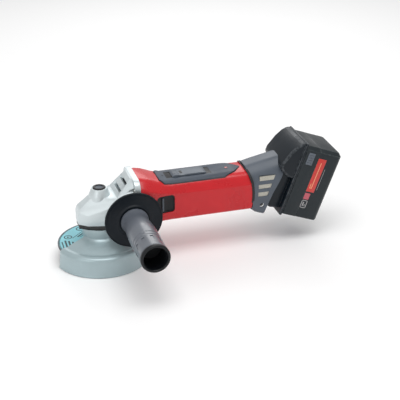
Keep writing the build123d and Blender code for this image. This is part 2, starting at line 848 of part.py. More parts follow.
def foot_solid(inset):
    """The foot's outside in the battery's frame."""
    points = [
        (-8, -4 + inset), (-8, 60), (-28.5 + inset, 67), (-9 + inset, 104), (-5, 110.5 - inset),
        (FOOT_FACE, 111 - inset), (FOOT_FACE, -4 + inset),
    ]
    body = side_prism(points, PACK_W / 2 - inset)
    body = body + side_prism([(-19, 3 + inset), (-19, 62), (-7, 62), (-7, 3 + inset)], 29 - inset)
    round_edges = [
        edge for edge in body.edges()
        if edge.length > 30 and abs(edge.tangent_at(0.5).Y) < 0.01
        and edge.center().X < -9 and edge.center().Z > 72
    ]
    return fillet(round_edges, FOOT_ROUND - inset)


def rail_profile(grow):
    """The T-shaped rail across the battery's face, as two slabs."""
    stem = block((-1, -15 - grow, 2), (6.3, 15 + grow, 100 + grow))
    head = block((4.3 - grow, -20 - grow, 2), (8.6 + grow, 20 + grow, 100 + grow))
    return stem + head


def battery_foot():
    inner = foot_solid(2.6) & block((-40, -80, -20), (-3.3, 80, 140))
    body = foot_solid(0) - inner
    body = body + (rail_profile(0) - block((-2, -12, 1), (6, 12, 46)))
    body = body - block((-10, -12.2, 13.8), (6.5, 12.2, 46.2))
    return in_pack(body) - tail_solid(-0.2)


def terminal_block():
    """Contact block in the foot with three flat blades."""
    body = block((-14, -12, 14), (-0.6, 12, 46))
    for y in (-8, 0, 8):
        body = body + block((-0.6, y - 0.5, 16), (4.5, y + 0.5, 40))
    return in_pack(body)


def pack_outside(inset):
    """The battery's outside in its own frame, shrunk by an inset."""
    profile = [
        (inset, -5.5 + inset), (5, -7.2 + inset), (16, -7.7 + inset),
        (PACK_H - inset, inset), (PACK_H - inset, PACK_L - inset), (inset, PACK_L - inset),
    ]
    body = side_prism(profile, PACK_W / 2 - inset)
    back_edges = [edge for edge in body.edges() if edge.center().X > PACK_H - 4]
    body = fillet([edge for edge in back_edges if edge.length > 90], 8 - inset)
    ends = [
        edge for edge in body.edges()
        if abs(edge.center().Z - (PACK_L - inset)) < 0.01
        and abs(edge.tangent_at(0.5).Y) < 0.01
    ]
    return chamfer(ends, 5 - inset / 2)


def pack_shell():
    shell = pack_outside(0) - pack_outside(WALL)
    for side in (-1, 1):
        low = min(side * 30, side * 40)
        high = max(side * 30, side * 40)
        shell = shell - block((4, low, 80.5), (14.6, high, 99.5))
    return shell


def pack_rail_case():
    """The half of the battery that slides on the foot's rail."""
    upper = pack_shell() & block((-1, -50, -1), (PACK_SPLIT, 50, PACK_L + 1))
    floor = block((0.5, -24, -3), (12.4, 24, 104))
    cut = rail_profile(0.35)
    low_open = block((-1, -15.35, -9), (6.3, 15.35, 4)) + block((3.95, -20.35, -9), (8.95, 20.35, 4))
    nest = upper + floor - cut - low_open
    return in_pack(nest)


def pack_case():
    return in_pack(pack_shell() & block((PACK_SPLIT, -50, -1), (80, 50, PACK_L + 1)))


def pack_labels():
    """A plain red name plate on each side of the battery."""
    plates = []
    for side in (-1, 1):
        low = min(side * PACK_W / 2, side * (PACK_W / 2 + 0.5))
        high = max(side * PACK_W / 2, side * (PACK_W / 2 + 0.5))
        plates.append(block((22, low, 41), (35, high, 94)))
    return group([in_pack(plate) for plate in plates])


def pack_cells():
    cells = []
    for row in range(5):
        for column in range(2):
            x = 24.8 + column * CELL_PITCH
            z = 13 + row * 19.5
            can = rod(CELL_R, (x, -CELL_L / 2, z), (x, CELL_L / 2 - 1, z))
            cap = rod(3, (x, CELL_L / 2 - 1, z), (x, CELL_L / 2 + 0.4, z))
            cells.append(can + cap)
    return group([in_pack(cell) for cell in cells])


def pack_board():
    board = block((13.0, -26, 8), (14.6, 26, 98))
    for y in (-12, 4):
        board = board + block((12.5, y, 78), (13.0, y + 8, 90))
    return in_pack(board)


def release_button(side):
    """Squeezed inwards to let the battery go. Its lip keeps it in the case, its leaf pushes it back."""

    def slab(inner, outer, x0, x1, z0, z1):
        return block((x0, min(side * inner, side * outer), z0), (x1, max(side * inner, side * outer), z1))

    body = slab(31, PACK_W / 2 + 0.4, 4.3, 14.3, 80.8, 99.2)
    body = body + slab(32.0, 33.9, 3.4, 15.2, 79.7, 100.3)
    for index in range(4):
        z = 83.5 + index * 3.8
        body = body - slab(PACK_W / 2 - 0.4, PACK_W / 2 + 2, 6, 12.6, z, z + 1.6)
    leg = slab(27.6, 32, 8, 11, 81, 82.2)
    leaf = slab(27.6, 28.8, 8, 11, 81, 98)
    return in_pack(body + leg + leaf)


# ---------------------------------------------------------------- side handle

def handle_part(points):
    """A body turned about the handle's axis from (distance out, radius) points."""
    plane = Plane(origin=(HANDLE_X, 0, HANDLE_Z), x_dir=(0, -1, 0), z_dir=(1, 0, 0))
    return turned_on(plane, points)


def handle_stud():
    return handle_part([(23, 0), (23, 3.2), (23.8, 4), (78, 4), (78, 6), (86, 6), (86, 0)])


def handle_core():
    """Hard core with the hand flange and the hub that seats on the head."""
    body = handle_part([
        (38, 4), (38, 13), (45, 14.5), (47, 20), (47.8, HAND_FLANGE_R - 1.5), (49, HAND_FLANGE_R),
        (50.8, HAND_FLANGE_R), (51.6, HAND_FLANGE_R - 1.5), (51.8, 22), (54, 19), (54, 12),
        (134, 12), (134, 9), (90, 9), (90, 6), (78, 6), (78, 4),
    ])
    return body


def handle_grip():
    return handle_part([
        (54, 12), (54, 15.8), (58, 16.2), (66, 17.4), (84, 19.6), (104, 20.6), (124, 20.0),
        (126, 19.2), (130, 19.2), (132, 19.9), (150, 19.7), (163, 20.3), (163, 17), (134, 17),
        (134, 12),
    ])


def handle_cap():
    """Deep hollow cup with a wide rolled rim."""
    return handle_part([
        (134, 0), (134, 17), (163, 17), (163, 20.3), (167.5, 20.4), (169, 19.4), (169, 18.4),
        (166, 16.4), (162, 15.6), (135.5, 15.0), (135.5, 0),
    ])


NODES = {
    "gear_housing": gear_housing,
    "bearing_plate": bearing_plate,
    "plate_screws": plate_screws,
    "head_screws": head_screws,
    "spindle": spindle,
    "spindle_bush": spindle_bush,
    "lower_bearing_outer": lower_bearing_outer,
    "lower_bearing_inner": lower_bearing_inner,
    "crown_gear": crown_gear,
    "pinion_gear": pinion_gear,
    "lock_button": lock_button,
    "lock_pin": lock_pin,
    "lock_spring": lock_spring,
    "inner_flange": inner_flange,
    "clamp_nut": clamp_nut,
    "grinding_disc": grinding_disc,
    "guard": guard,
    "guard_clamp_bolt": guard_clamp_bolt,
    "motor_housing": motor_housing,
    "air_baffle": air_baffle,
    "motor_can": lambda: ring_on_motor(78, 136, 22, CAN_R),
    "magnets": magnets,
    "armature_shaft": armature_shaft,
    "armature_core": armature_core,
    "armature_windings": armature_windings,
    "commutator": commutator,
    "fan": fan,
    "front_bearing_outer": front_bearing_outer,
    "front_bearing_inner": lambda: ring_on_motor(42, 49, SHAFT_R, 6),
    "rear_bearing": lambda: ring_on_motor(155, 161, SHAFT_R + 0.05, 9.5),
    "motor_end_plate": motor_end_plate,
    "brush_holders": brush_holders,
    "carbon_brushes": carbon_brushes,
    "brush_springs": brush_springs,
    "top_panel": top_panel,
    "switch_slider": switch_slider,
    "switch_rod": switch_rod,
    "switch_module": switch_module,
    "led_lens": led_lens,
    "electronics_module": electronics_module,
    "side_vent_right": side_vent,
    "side_vent_left": lambda: mirrored(side_vent()),
    "sealing_ring": sealing_ring,
    "tail_cover_right": lambda: tail_cover(-1),
    "tail_cover_left": lambda: tail_cover(1),
    "tail_screws": tail_screws,
    "dust_filters": dust_filters,
    "battery_foot": battery_foot,
    "terminal_block": terminal_block,
    "pack_rail_case": pack_rail_case,
    "pack_case": pack_case,
    "pack_labels": pack_labels,
    "pack_cells": pack_cells,
    "pack_board": pack_board,
    "release_button_right": lambda: release_button(-1),
    "release_button_left": lambda: release_button(1),
    "handle_stud": handle_stud,
    "handle_core": handle_core,
    "handle_grip": handle_grip,
    "handle_cap": handle_cap,
}

for name, make in NODES.items():
    export_step(make(), f"parts/{name}.step")
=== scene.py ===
import json
import math
import bmesh
import bpy
from mathutils import Matrix, Vector

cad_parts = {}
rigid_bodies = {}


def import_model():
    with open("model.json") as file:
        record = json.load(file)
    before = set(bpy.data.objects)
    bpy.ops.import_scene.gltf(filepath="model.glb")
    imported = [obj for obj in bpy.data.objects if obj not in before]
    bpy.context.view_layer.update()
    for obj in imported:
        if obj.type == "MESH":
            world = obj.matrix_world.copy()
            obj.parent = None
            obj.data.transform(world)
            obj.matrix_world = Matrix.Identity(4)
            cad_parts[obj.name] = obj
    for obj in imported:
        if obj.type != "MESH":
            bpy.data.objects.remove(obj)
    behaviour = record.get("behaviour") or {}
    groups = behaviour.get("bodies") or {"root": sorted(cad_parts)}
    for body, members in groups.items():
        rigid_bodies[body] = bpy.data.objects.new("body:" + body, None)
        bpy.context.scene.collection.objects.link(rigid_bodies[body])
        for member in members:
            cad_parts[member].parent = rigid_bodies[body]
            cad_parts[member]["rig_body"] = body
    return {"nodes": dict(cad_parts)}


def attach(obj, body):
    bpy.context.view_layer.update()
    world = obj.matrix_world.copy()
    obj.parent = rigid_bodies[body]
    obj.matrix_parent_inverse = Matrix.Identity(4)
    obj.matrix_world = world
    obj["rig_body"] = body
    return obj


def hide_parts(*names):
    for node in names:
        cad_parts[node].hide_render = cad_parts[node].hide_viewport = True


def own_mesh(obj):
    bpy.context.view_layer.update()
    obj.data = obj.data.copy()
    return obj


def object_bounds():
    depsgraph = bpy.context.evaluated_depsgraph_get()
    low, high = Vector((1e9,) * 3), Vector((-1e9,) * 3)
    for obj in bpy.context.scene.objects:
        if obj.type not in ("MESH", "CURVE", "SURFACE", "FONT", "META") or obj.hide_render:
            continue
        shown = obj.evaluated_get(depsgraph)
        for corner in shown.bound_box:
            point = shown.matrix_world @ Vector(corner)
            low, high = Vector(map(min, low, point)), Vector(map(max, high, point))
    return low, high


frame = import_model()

# Cordless angle grinder. Metres, in the row frame: Z up the spindle, X from the head to the battery,
# side handle towards -Y. mm() turns a drawing size into metres.

CAD_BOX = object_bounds()
NODES = frame["nodes"]
GUARD_START = math.radians(196)
GUARD_GAP_START = math.radians(92.8)
HEAD_RAMP_TILT = math.radians(49.8)


def mm(*sizes):
    """Drawing sizes in millimetres as metres: one number, or a vector."""
    if len(sizes) == 1:
        return sizes[0] / 1000
    return Vector([size / 1000 for size in sizes])


# ---------------------------------------------------------------- camera and light

AIM = mm(149, 0, 54)
SIGHT_AZIMUTH = math.radians(-17)
SIGHT_ELEVATION = math.radians(26)
SIGHT_DISTANCE = 1.7
SIGHT_LENS = 104.8


def set_camera():
    forward = Vector((
        -math.sin(SIGHT_AZIMUTH) * math.cos(SIGHT_ELEVATION),
        math.cos(SIGHT_AZIMUTH) * math.cos(SIGHT_ELEVATION),
        -math.sin(SIGHT_ELEVATION),
    ))
    data = bpy.data.cameras.new("studio_camera")
    data.lens = SIGHT_LENS
    data.sensor_width = 36
    data.clip_start = 0.05
    data.clip_end = 20
    camera = bpy.data.objects.new("studio_camera", data)
    camera.location = AIM - forward * SIGHT_DISTANCE
    camera.rotation_euler = forward.to_track_quat("-Z", "Y").to_euler()
    bpy.context.scene.collection.objects.link(camera)
    bpy.context.scene.camera = camera


def soft_light(name, place, aim, size, power):
    data = bpy.data.lights.new(name, "AREA")
    data.shape = "RECTANGLE"
    data.size = size
    data.size_y = size * 0.7
    data.energy = power
    lamp = bpy.data.objects.new(name, data)
    lamp.location = place
    lamp.rotation_euler = (Vector(aim) - Vector(place)).to_track_quat("-Z", "Y").to_euler()
    bpy.context.scene.collection.objects.link(lamp)


def set_studio():
    world = bpy.data.worlds.new("studio_air")
    world.use_nodes = True
    air = world.node_tree.nodes["Background"]
    air.inputs["Color"].default_value = (1.0, 1.0, 1.0, 1)
    air.inputs["Strength"].default_value = 0.62
    bpy.context.scene.world = world
    soft_light("top_softbox", (0.1, -0.3, 1.3), (0.15, 0, 0.05), 1.1, 8.2)
    soft_light("left_softbox", (-1.0, -0.9, 0.7), (0.1, 0, 0.05), 0.8, 2.2)
    soft_light("back_softbox", (0.5, 1.1, 0.9), (0.15, 0, 0.05), 0.9, 4.2)
    bpy.context.scene.view_settings.view_transform = "Standard"
    low = CAD_BOX[0][2]
    shape = bmesh.new()
    bmesh.ops.create_grid(shape, x_segments=1, y_segments=1, size=6)
    bmesh.ops.translate(shape, verts=shape.verts, vec=(0.15, 0, low - 0.0005))
    mesh = bpy.data.meshes.new("studio_floor")
    shape.to_mesh(mesh)
    shape.free()
    floor = bpy.data.objects.new("studio_floor", mesh)
    bpy.context.scene.collection.objects.link(floor)
    paper = bpy.data.materials.new("studio_paper")
    paper.use_nodes = True
    shader = paper.node_tree.nodes["Principled BSDF"]
    shader.inputs["Base Color"].default_value = (0.97, 0.97, 0.97, 1)
    shader.inputs["Roughness"].default_value = 0.9
    shader.inputs["Specular IOR Level"].default_value = 0.1
    mesh.materials.append(paper)


# ---------------------------------------------------------------- finishes

def new_group(name, numbers, colours=(), outs=()):
    """A shader node group with named inputs and outputs."""
    tree = bpy.data.node_groups.new(name, "ShaderNodeTree")
    for socket, value in numbers:
        made = tree.interface.new_socket(name=socket, in_out="INPUT", socket_type="NodeSocketFloat")
        made.default_value = value
    for socket in colours:
        tree.interface.new_socket(name=socket, in_out="INPUT", socket_type="NodeSocketColor")
    for socket, kind in outs:
        tree.interface.new_socket(name=socket, in_out="OUTPUT", socket_type=kind)
    entry = tree.nodes.new("NodeGroupInput")
    leave = tree.nodes.new("NodeGroupOutput")
    return tree, entry, leave


def maths(tree, kind, first, second=None):
    """A Math node. Inputs are sockets or numbers."""
    node = tree.nodes.new("ShaderNodeMath")
    node.operation = kind
    for slot, value in zip(node.inputs, (first, second)):
        if value is None:
            continue
        if isinstance(value, (int, float)):
            slot.default_value = value
        else:
            tree.links.new(value, slot)
    return node.outputs[0]


def blend_colour(tree, amount, first, second, kind="MIX"):
    """A colour Mix node. Colours are sockets or (r, g, b)."""
    node = tree.nodes.new("ShaderNodeMix")
    node.data_type = "RGBA"
    node.blend_type = kind
    for slot, value in ((node.inputs[0], amount), (node.inputs[6], first), (node.inputs[7], second)):
        if isinstance(value, (int, float)):
            slot.default_value = value
        elif isinstance(value, tuple):
            slot.default_value = (*value, 1)
        else:
            tree.links.new(value, slot)
    return node.outputs[2]


def noise(tree, where, scale, detail=3, rough=0.55):
    node = tree.nodes.new("ShaderNodeTexNoise")
    node.inputs["Scale"].default_value = scale
    node.inputs["Detail"].default_value = detail
    node.inputs["Roughness"].default_value = rough
    tree.links.new(where, node.inputs["Vector"])
    return node.outputs["Fac"]


def spread(tree, value, low, high, to_low=0.0, to_high=1.0):
    """Maps a range of a value onto another range, clamped."""
    node = tree.nodes.new("ShaderNodeMapRange")
    node.inputs["From Min"].default_value = low
    node.inputs["From Max"].default_value = high
    node.inputs["To Min"].default_value = to_low
    node.inputs["To Max"].default_value = to_high
    tree.links.new(value, node.inputs["Value"])
    return node.outputs["Result"]


def object_place(tree):
    return tree.nodes.new("ShaderNodeTexCoord").outputs["Object"]


def build_surface_group():
    """Grain, handling marks and worn edges, shared by every finish.

    Gives a colour, a roughness and a height."""
    tree, entry, leave = new_group(
        "workshop_surface",
        [("Grain Scale", 1500.0), ("Grain Height", 0.5), ("Mottle", 0.15), ("Roughness", 0.5),
         ("Rub", 0.3), ("Edge Wear", 0.4)],
        ("Colour", "Worn Colour"),
        [("Colour", "NodeSocketColor"), ("Roughness", "NodeSocketFloat"), ("Height", "NodeSocketFloat")],
    )
    links = tree.links
    place = object_place(tree)
    grain = tree.nodes.new("ShaderNodeTexNoise")
    grain.inputs["Detail"].default_value = 2
    links.new(place, grain.inputs["Vector"])
    links.new(entry.outputs["Grain Scale"], grain.inputs["Scale"])
    broad = noise(tree, place, 28, 4)
    stretch = tree.nodes.new("ShaderNodeMapping")
    stretch.inputs["Rotation"].default_value = (0.4, 0.3, 0.6)
    stretch.inputs["Scale"].default_value = (30, 700, 700)
    links.new(place, stretch.inputs["Vector"])
    streak = noise(tree, stretch.outputs[0], 1.0, 3)
    streak = spread(tree, streak, 0.60, 0.72)
    patch = spread(tree, noise(tree, place, 60, 3), 0.5, 0.7)
    rubbed = maths(tree, "MULTIPLY", streak, patch)
    rim = tree.nodes.new("ShaderNodeAttribute")
    rim.attribute_name = "worn_rim"
    chips = spread(tree, noise(tree, place, 260, 4, 0.65), 0.42, 0.58)
    chips = maths(tree, "ADD", maths(tree, "MULTIPLY", chips, 0.8), 0.2)
    edge = maths(tree, "MULTIPLY", rim.outputs["Fac"], chips)
    edge = maths(tree, "MULTIPLY", edge, entry.outputs["Edge Wear"])
    dull = spread(tree, broad, 0.35, 0.65, -0.5, 0.5)
    dull = maths(tree, "MULTIPLY", dull, entry.outputs["Mottle"])
    shade = tree.nodes.new("ShaderNodeHueSaturation")
    links.new(entry.outputs["Colour"], shade.inputs["Color"])
    links.new(maths(tree, "ADD", dull, 1.0), shade.inputs["Value"])
    rub = maths(tree, "MULTIPLY", rubbed, entry.outputs["Rub"])
    marks = maths(tree, "MAXIMUM", edge, maths(tree, "MULTIPLY", rub, 0.6))
    colour = blend_colour(tree, marks, shade.outputs[0], entry.outputs["Worn Colour"])
    rough = maths(tree, "ADD", entry.outputs["Roughness"], maths(tree, "MULTIPLY", dull, 0.8))
    rough = maths(tree, "SUBTRACT", rough, maths(tree, "MULTIPLY", rub, 0.25))
    rough = maths(tree, "SUBTRACT", rough, maths(tree, "MULTIPLY", edge, 0.12))
    height = maths(tree, "MULTIPLY", grain.outputs["Fac"], entry.outputs["Grain Height"])
    height = maths(tree, "SUBTRACT", height, maths(tree, "MULTIPLY", rub, 0.3))
    links.new(colour, leave.inputs["Colour"])
    links.new(rough, leave.inputs["Roughness"])
    links.new(height, leave.inputs["Height"])
    return tree


SURFACE = build_surface_group()


def finish(name, colour, worn, rough, metal=0.0, grain=(1500, 0.5), mottle=0.15, rub=0.3, edge=0.4,
           bump=0.25, coat=0.0, specular=0.5):
    """A finish: base colour, the colour it wears to, and its surface numbers."""
    made = bpy.data.materials.new(name)
    made.use_nodes = True
    tree = made.node_tree
    shader = tree.nodes["Principled BSDF"]
    surface = tree.nodes.new("ShaderNodeGroup")
    surface.node_tree = SURFACE
    surface.inputs["Grain Scale"].default_value = grain[0]
    surface.inputs["Grain Height"].default_value = grain[1]
    surface.inputs["Mottle"].default_value = mottle
    surface.inputs["Roughness"].default_value = rough
    surface.inputs["Rub"].default_value = rub
    surface.inputs["Edge Wear"].default_value = edge
    surface.inputs["Colour"].default_value = (*colour, 1)
    surface.inputs["Worn Colour"].default_value = (*worn, 1)
    shader.inputs["Metallic"].default_value = metal
    shader.inputs["Coat Weight"].default_value = coat
    shader.inputs["Coat Roughness"].default_value = 0.12
    shader.inputs["Specular IOR Level"].default_value = specular
    relief = tree.nodes.new("ShaderNodeBump")
    relief.inputs["Strength"].default_value = bump
    relief.inputs["Distance"].default_value = mm(0.2)
    tree.links.new(surface.outputs["Colour"], shader.inputs["Base Color"])
    tree.links.new(surface.outputs["Roughness"], shader.inputs["Roughness"])
    tree.links.new(surface.outputs["Height"], relief.inputs["Height"])
    tree.links.new(relief.outputs["Normal"], shader.inputs["Normal"])
    return made


CAST_ALUMINIUM = finish("cast_aluminium_satin", (0.64, 0.70, 0.715), (0.78, 0.80, 0.80), 0.40, 0.55,
                        (900, 0.8), 0.10, 0.2, 0.5, 0.35)
BLACK_ENAMEL = finish("black_enamel", (0.008, 0.009, 0.010), (0.25, 0.25, 0.25), 0.35, 0.0,
                      (1100, 0.6), 0.3, 0.4, 0.35, 0.3)
GUARD_LACQUER = finish("guard_silver_lacquer", (0.375, 0.470, 0.495), (0.66, 0.74, 0.76), 0.34, 0.35,
                       (1400, 0.5), 0.08, 0.35, 0.5, 0.2, 0.15)
RED_NYLON = finish("red_nylon", (0.55, 0.008, 0.014), (0.62, 0.05, 0.05), 0.30, 0.0,
                   (1300, 0.35), 0.10, 0.12, 0.30, 0.12, 0.2, 0.35)
SOFT_TOUCH = finish("soft_touch_panel", (0.048, 0.062, 0.086), (0.16, 0.17, 0.19), 0.52, 0.0,
                    (1600, 0.9), 0.2, 0.3, 0.35, 0.35)
SLIDE_NYLON = finish("slide_nylon", (0.100, 0.118, 0.145), (0.22, 0.23, 0.25), 0.40, 0.0,
                     (1500, 0.6), 0.15, 0.4, 0.5, 0.25)
BLACK_NYLON = finish("black_nylon", (0.006, 0.007, 0.009), (0.08, 0.08, 0.09), 0.40, 0.0,
                     (1200, 0.8), 0.3, 0.25, 0.4, 0.3, 0.0, 0.3)
FLANGE_NYLON = finish("hand_flange_nylon", (0.003, 0.006, 0.010), (0.07, 0.09, 0.10), 0.44, 0.0,
                      (1400, 0.9), 0.25, 0.25, 0.5, 0.35, 0.0, 0.25)
TAIL_NYLON = finish("tail_grey_nylon", (0.078, 0.094, 0.118), (0.24, 0.25, 0.27), 0.42, 0.0,
                    (1300, 0.8), 0.15, 0.3, 0.45, 0.3)
FOOT_NYLON = finish("foot_charcoal_nylon", (0.004, 0.008, 0.013), (0.10, 0.11, 0.12), 0.40, 0.0,
                    (1300, 0.8), 0.2, 0.25, 0.5, 0.3, 0.0, 0.3)
PACK_NYLON = finish("pack_charcoal_nylon", (0.015, 0.021, 0.025), (0.10, 0.12, 0.12), 0.42, 0.0,
                    (1100, 0.9), 0.2, 0.25, 0.5, 0.35, 0.0, 0.3)
GRIP_RUBBER = finish("grip_rubber", (0.105, 0.118, 0.142), (0.24, 0.25, 0.26), 0.37, 0.0,
                     (1800, 0.9), 0.15, 0.25, 0.3, 0.3, 0.35, 0.8)
RING_RUBBER = finish("ring_rubber", (0.010, 0.010, 0.012), (0.06, 0.06, 0.06), 0.55, 0.0,
                     (1500, 0.8), 0.3, 0.2, 0.3, 0.3)
RED_PLATE = finish("red_plate", (0.56, 0.022, 0.014), (0.8, 0.25, 0.2), 0.32, 0.0,
                   (1500, 0.4), 0.12, 0.3, 0.4, 0.15, 0.3)
RED_LENS = finish("red_lens", (0.30, 0.02, 0.02), (0.7, 0.2, 0.2), 0.15, 0.0,
                  (1500, 0.1), 0.1, 0.1, 0.1, 0.05, 0.6)
GROUND_STEEL = finish("ground_steel", (0.50, 0.50, 0.51), (0.7, 0.7, 0.7), 0.28, 1.0,
                      (2500, 0.4), 0.12, 0.5, 0.3, 0.15)
BLUED_STEEL = finish("blued_steel", (0.09, 0.09, 0.10), (0.4, 0.4, 0.4), 0.35, 0.9,
                     (2200, 0.5), 0.25, 0.4, 0.5, 0.2)
ZINC = finish("zinc_plate", (0.60, 0.60, 0.58), (0.75, 0.75, 0.73), 0.33, 1.0,
              (2000, 0.4), 0.2, 0.3, 0.3, 0.2)
BRONZE = finish("sintered_bronze", (0.50, 0.30, 0.12), (0.7, 0.5, 0.3), 0.42, 1.0,
                (2600, 0.8), 0.2, 0.3, 0.4, 0.3)
COPPER = finish("enamelled_copper", (0.50, 0.17, 0.06), (0.75, 0.4, 0.25), 0.32, 0.9,
                (2200, 0.5), 0.2, 0.2, 0.4, 0.3)
CARBON = finish("pressed_carbon", (0.035, 0.035, 0.036), (0.12, 0.12, 0.12), 0.6, 0.1,
                (2600, 0.9), 0.3, 0.3, 0.3, 0.4)
FERRITE = finish("ferrite", (0.045, 0.045, 0.05), (0.12, 0.12, 0.12), 0.55, 0.1,
                 (2000, 0.9), 0.2, 0.2, 0.4, 0.4)
BOARD_GREEN = finish("circuit_board", (0.015, 0.10, 0.035), (0.2, 0.3, 0.2), 0.4, 0.0,
                     (900, 0.6), 0.3, 0.2, 0.3, 0.3)
CELL_SLEEVE = finish("cell_sleeve", (0.02, 0.10, 0.26), (0.2, 0.3, 0.4), 0.35, 0.0,
                     (1200, 0.3), 0.1, 0.3, 0.3, 0.1)


def mesh_finish():
    """Woven wire filter: crossed fine threads."""
    made = finish("filter_mesh", (0.42, 0.40, 0.34), (0.66, 0.64, 0.58), 0.5, 0.3,
                  (2600, 0.4), 0.2, 0.1, 0.2, 0.2)
    tree = made.node_tree
    shader = tree.nodes["Principled BSDF"]
    place = object_place(tree)
    weave = None
    for axis in ("X", "Z"):
        wave = tree.nodes.new("ShaderNodeTexWave")
        wave.wave_type = "BANDS"
        wave.bands_direction = axis
        wave.inputs["Scale"].default_value = 320
        tree.links.new(place, wave.inputs["Vector"])
        weave = wave.outputs["Fac"] if weave is None else maths(tree, "MAXIMUM", weave, wave.outputs["Fac"])
    surface = [node for node in tree.nodes if node.type == "GROUP"][0]
    thread = blend_colour(tree, weave, (0.10, 0.095, 0.08), (0.66, 0.64, 0.56))
    both = blend_colour(tree, 0.25, thread, surface.outputs["Colour"])
    tree.links.new(both, shader.inputs["Base Color"])
    relief = tree.nodes["Bump"]
    relief.inputs["Strength"].default_value = 0.6
    tree.links.new(weave, relief.inputs["Height"])
    return made


def abrasive_finish(name, colour, paper):
    """Resin-bonded grit with a glass net showing through."""
    made = finish(name, colour, (0.5, 0.5, 0.5), 0.7, 0.0, (1800, 1.0), 0.3, 0.1, 0.5, 0.5)
    tree = made.node_tree
    shader = tree.nodes["Principled BSDF"]
    place = object_place(tree)
    net = None
    for axis in ("X", "Y"):
        wave = tree.nodes.new("ShaderNodeTexWave")
        wave.wave_type = "BANDS"
        wave.bands_direction = axis
        wave.inputs["Scale"].default_value = 95
        tree.links.new(place, wave.inputs["Vector"])
        line = spread(tree, wave.outputs["Fac"], 0.75, 0.95)
        net = line if net is None else maths(tree, "MAXIMUM", net, line)
    speck = spread(tree, noise(tree, place, 1500, 2), 0.55, 0.68)
    surface = [node for node in tree.nodes if node.type == "GROUP"][0]
    dark = tuple(0.72 * part for part in colour)
    base = blend_colour(tree, maths(tree, "MULTIPLY", net, 0.25 * paper), surface.outputs["Colour"], dark)
    base = blend_colour(tree, maths(tree, "MULTIPLY", speck, 0.25), base, (0.75, 0.78, 0.8))
    tree.links.new(base, shader.inputs["Base Color"])
    return made


FILTER_MESH = mesh_finish()
ABRASIVE = abrasive_finish("abrasive_grit", (0.09, 0.10, 0.11), 1.0)
DISC_PAPER = abrasive_finish("disc_label_paper", (0.25, 0.58, 0.65), 0.8)
DISC_INK = finish("disc_label_ink", (0.03, 0.06, 0.07), (0.2, 0.3, 0.32), 0.6, 0.0,
                 (1500, 0.5), 0.4, 0.2, 0.2, 0.2)
PALE_INK = finish("pale_print", (0.36, 0.35, 0.36), (0.4, 0.4, 0.4), 0.4, 0.0,
                 (1500, 0.3), 0.1, 0.2, 0.2, 0.1)
WAVE_INK = finish("orange_print", (0.80, 0.30, 0.16), (0.6, 0.3, 0.2), 0.4, 0.0,
                 (1500, 0.3), 0.1, 0.2, 0.2, 0.1)
PINK_INK = finish("pink_print", (0.50, 0.10, 0.13), (0.4, 0.2, 0.2), 0.4, 0.0,
                 (1500, 0.3), 0.1, 0.2, 0.2, 0.1)


# ---------------------------------------------------------------- making pieces

def body_of_node(node):
    return NODES[node]["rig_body"]


def into_scene(name, shape, skin, body, stands_for=(), smooth=35):
    """Puts a finished bmesh into the scene as a piece that rides on a body."""
    mesh = bpy.data.meshes.new(name)
    shape.to_mesh(mesh)
    shape.free()
    mesh.materials.append(skin)
    for face in mesh.polygons:
        face.use_smooth = True
    mesh.set_sharp_from_angle(angle=math.radians(smooth))
    piece = bpy.data.objects.new(name, mesh)
    bpy.context.scene.collection.objects.link(piece)
    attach(piece, body)
    if stands_for:
        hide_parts(*stands_for)
    return piece


def round_edges(shape, width, turn=28, segments=2):
    """Rounds every edge sharper than an angle, and marks the rounding as the worn rim."""
    rim = shape.faces.layers.float.get("worn_rim") or shape.faces.layers.float.new("worn_rim")
    limit = math.radians(turn)
    edges = []
    for edge in shape.edges:
        if len(edge.link_faces) == 2 and edge.calc_face_angle(0) > limit:
            edges.append(edge)
    made = bmesh.ops.bevel(
        shape, geom=edges, offset=width, offset_type="OFFSET", segments=segments, profile=0.5,
        affect="EDGES", material=-1, clamp_overlap=True)
    for face in made["faces"]:
        face[rim] = 1.0


def copied(node):
    """A CAD node's shape with its loose triangles joined into faces."""
    shape = bmesh.new()
    shape.from_mesh(NODES[node].data)
    bmesh.ops.remove_doubles(shape, verts=shape.verts, dist=1e-6)
    bmesh.ops.dissolve_limit(
        shape, angle_limit=math.radians(0.6), verts=shape.verts, edges=shape.edges)
    return shape


def softened(node, skin, width=0.5, turn=28, smooth=35):
    """The CAD node's own shape with its edges rounded as a mould or a file leaves them."""
    shape = copied(node)
    round_edges(shape, mm(width), turn)
    return into_scene(node + "_finished", shape, skin, body_of_node(node), [node], smooth)


def turned_shape(profile, steps=96, closed=True, arc=360.0):
    """Spins (radius, height) points about Z. Closed joins the last point to the first."""
    shape = bmesh.new()
    verts = [shape.verts.new(mm(radius, 0, height)) for radius, height in profile]
    edges = [shape.edges.new(pair) for pair in zip(verts, verts[1:])]
    if closed:
        edges.append(shape.edges.new((verts[-1], verts[0])))
    full = arc >= 360
    bmesh.ops.spin(
        shape, geom=verts + edges, cent=(0, 0, 0), axis=(0, 0, 1), dvec=(0, 0, 0),
        angle=math.radians(arc), steps=steps, use_merge=full, use_duplicate=False)
    bmesh.ops.remove_doubles(shape, verts=shape.verts, dist=1e-6)
    bmesh.ops.recalc_face_normals(shape, faces=shape.faces)
    return shape


def turn_about_z(shape, turn):
    bmesh.ops.rotate(shape, verts=shape.verts, cent=(0, 0, 0), matrix=Matrix.Rotation(turn, 3, "Z"))


def pulled_out(shape, face, run):
    """Extrudes a face of the shape along a vector and sets its faces outwards."""
    made = bmesh.ops.extrude_face_region(shape, geom=[face])
    fresh = [item for item in made["geom"] if isinstance(item, bmesh.types.BMVert)]
    bmesh.ops.translate(shape, verts=fresh, vec=run)
    bmesh.ops.recalc_face_normals(shape, faces=shape.faces)


def everything(shape):
    return shape.verts[:] + shape.edges[:] + shape.faces[:]


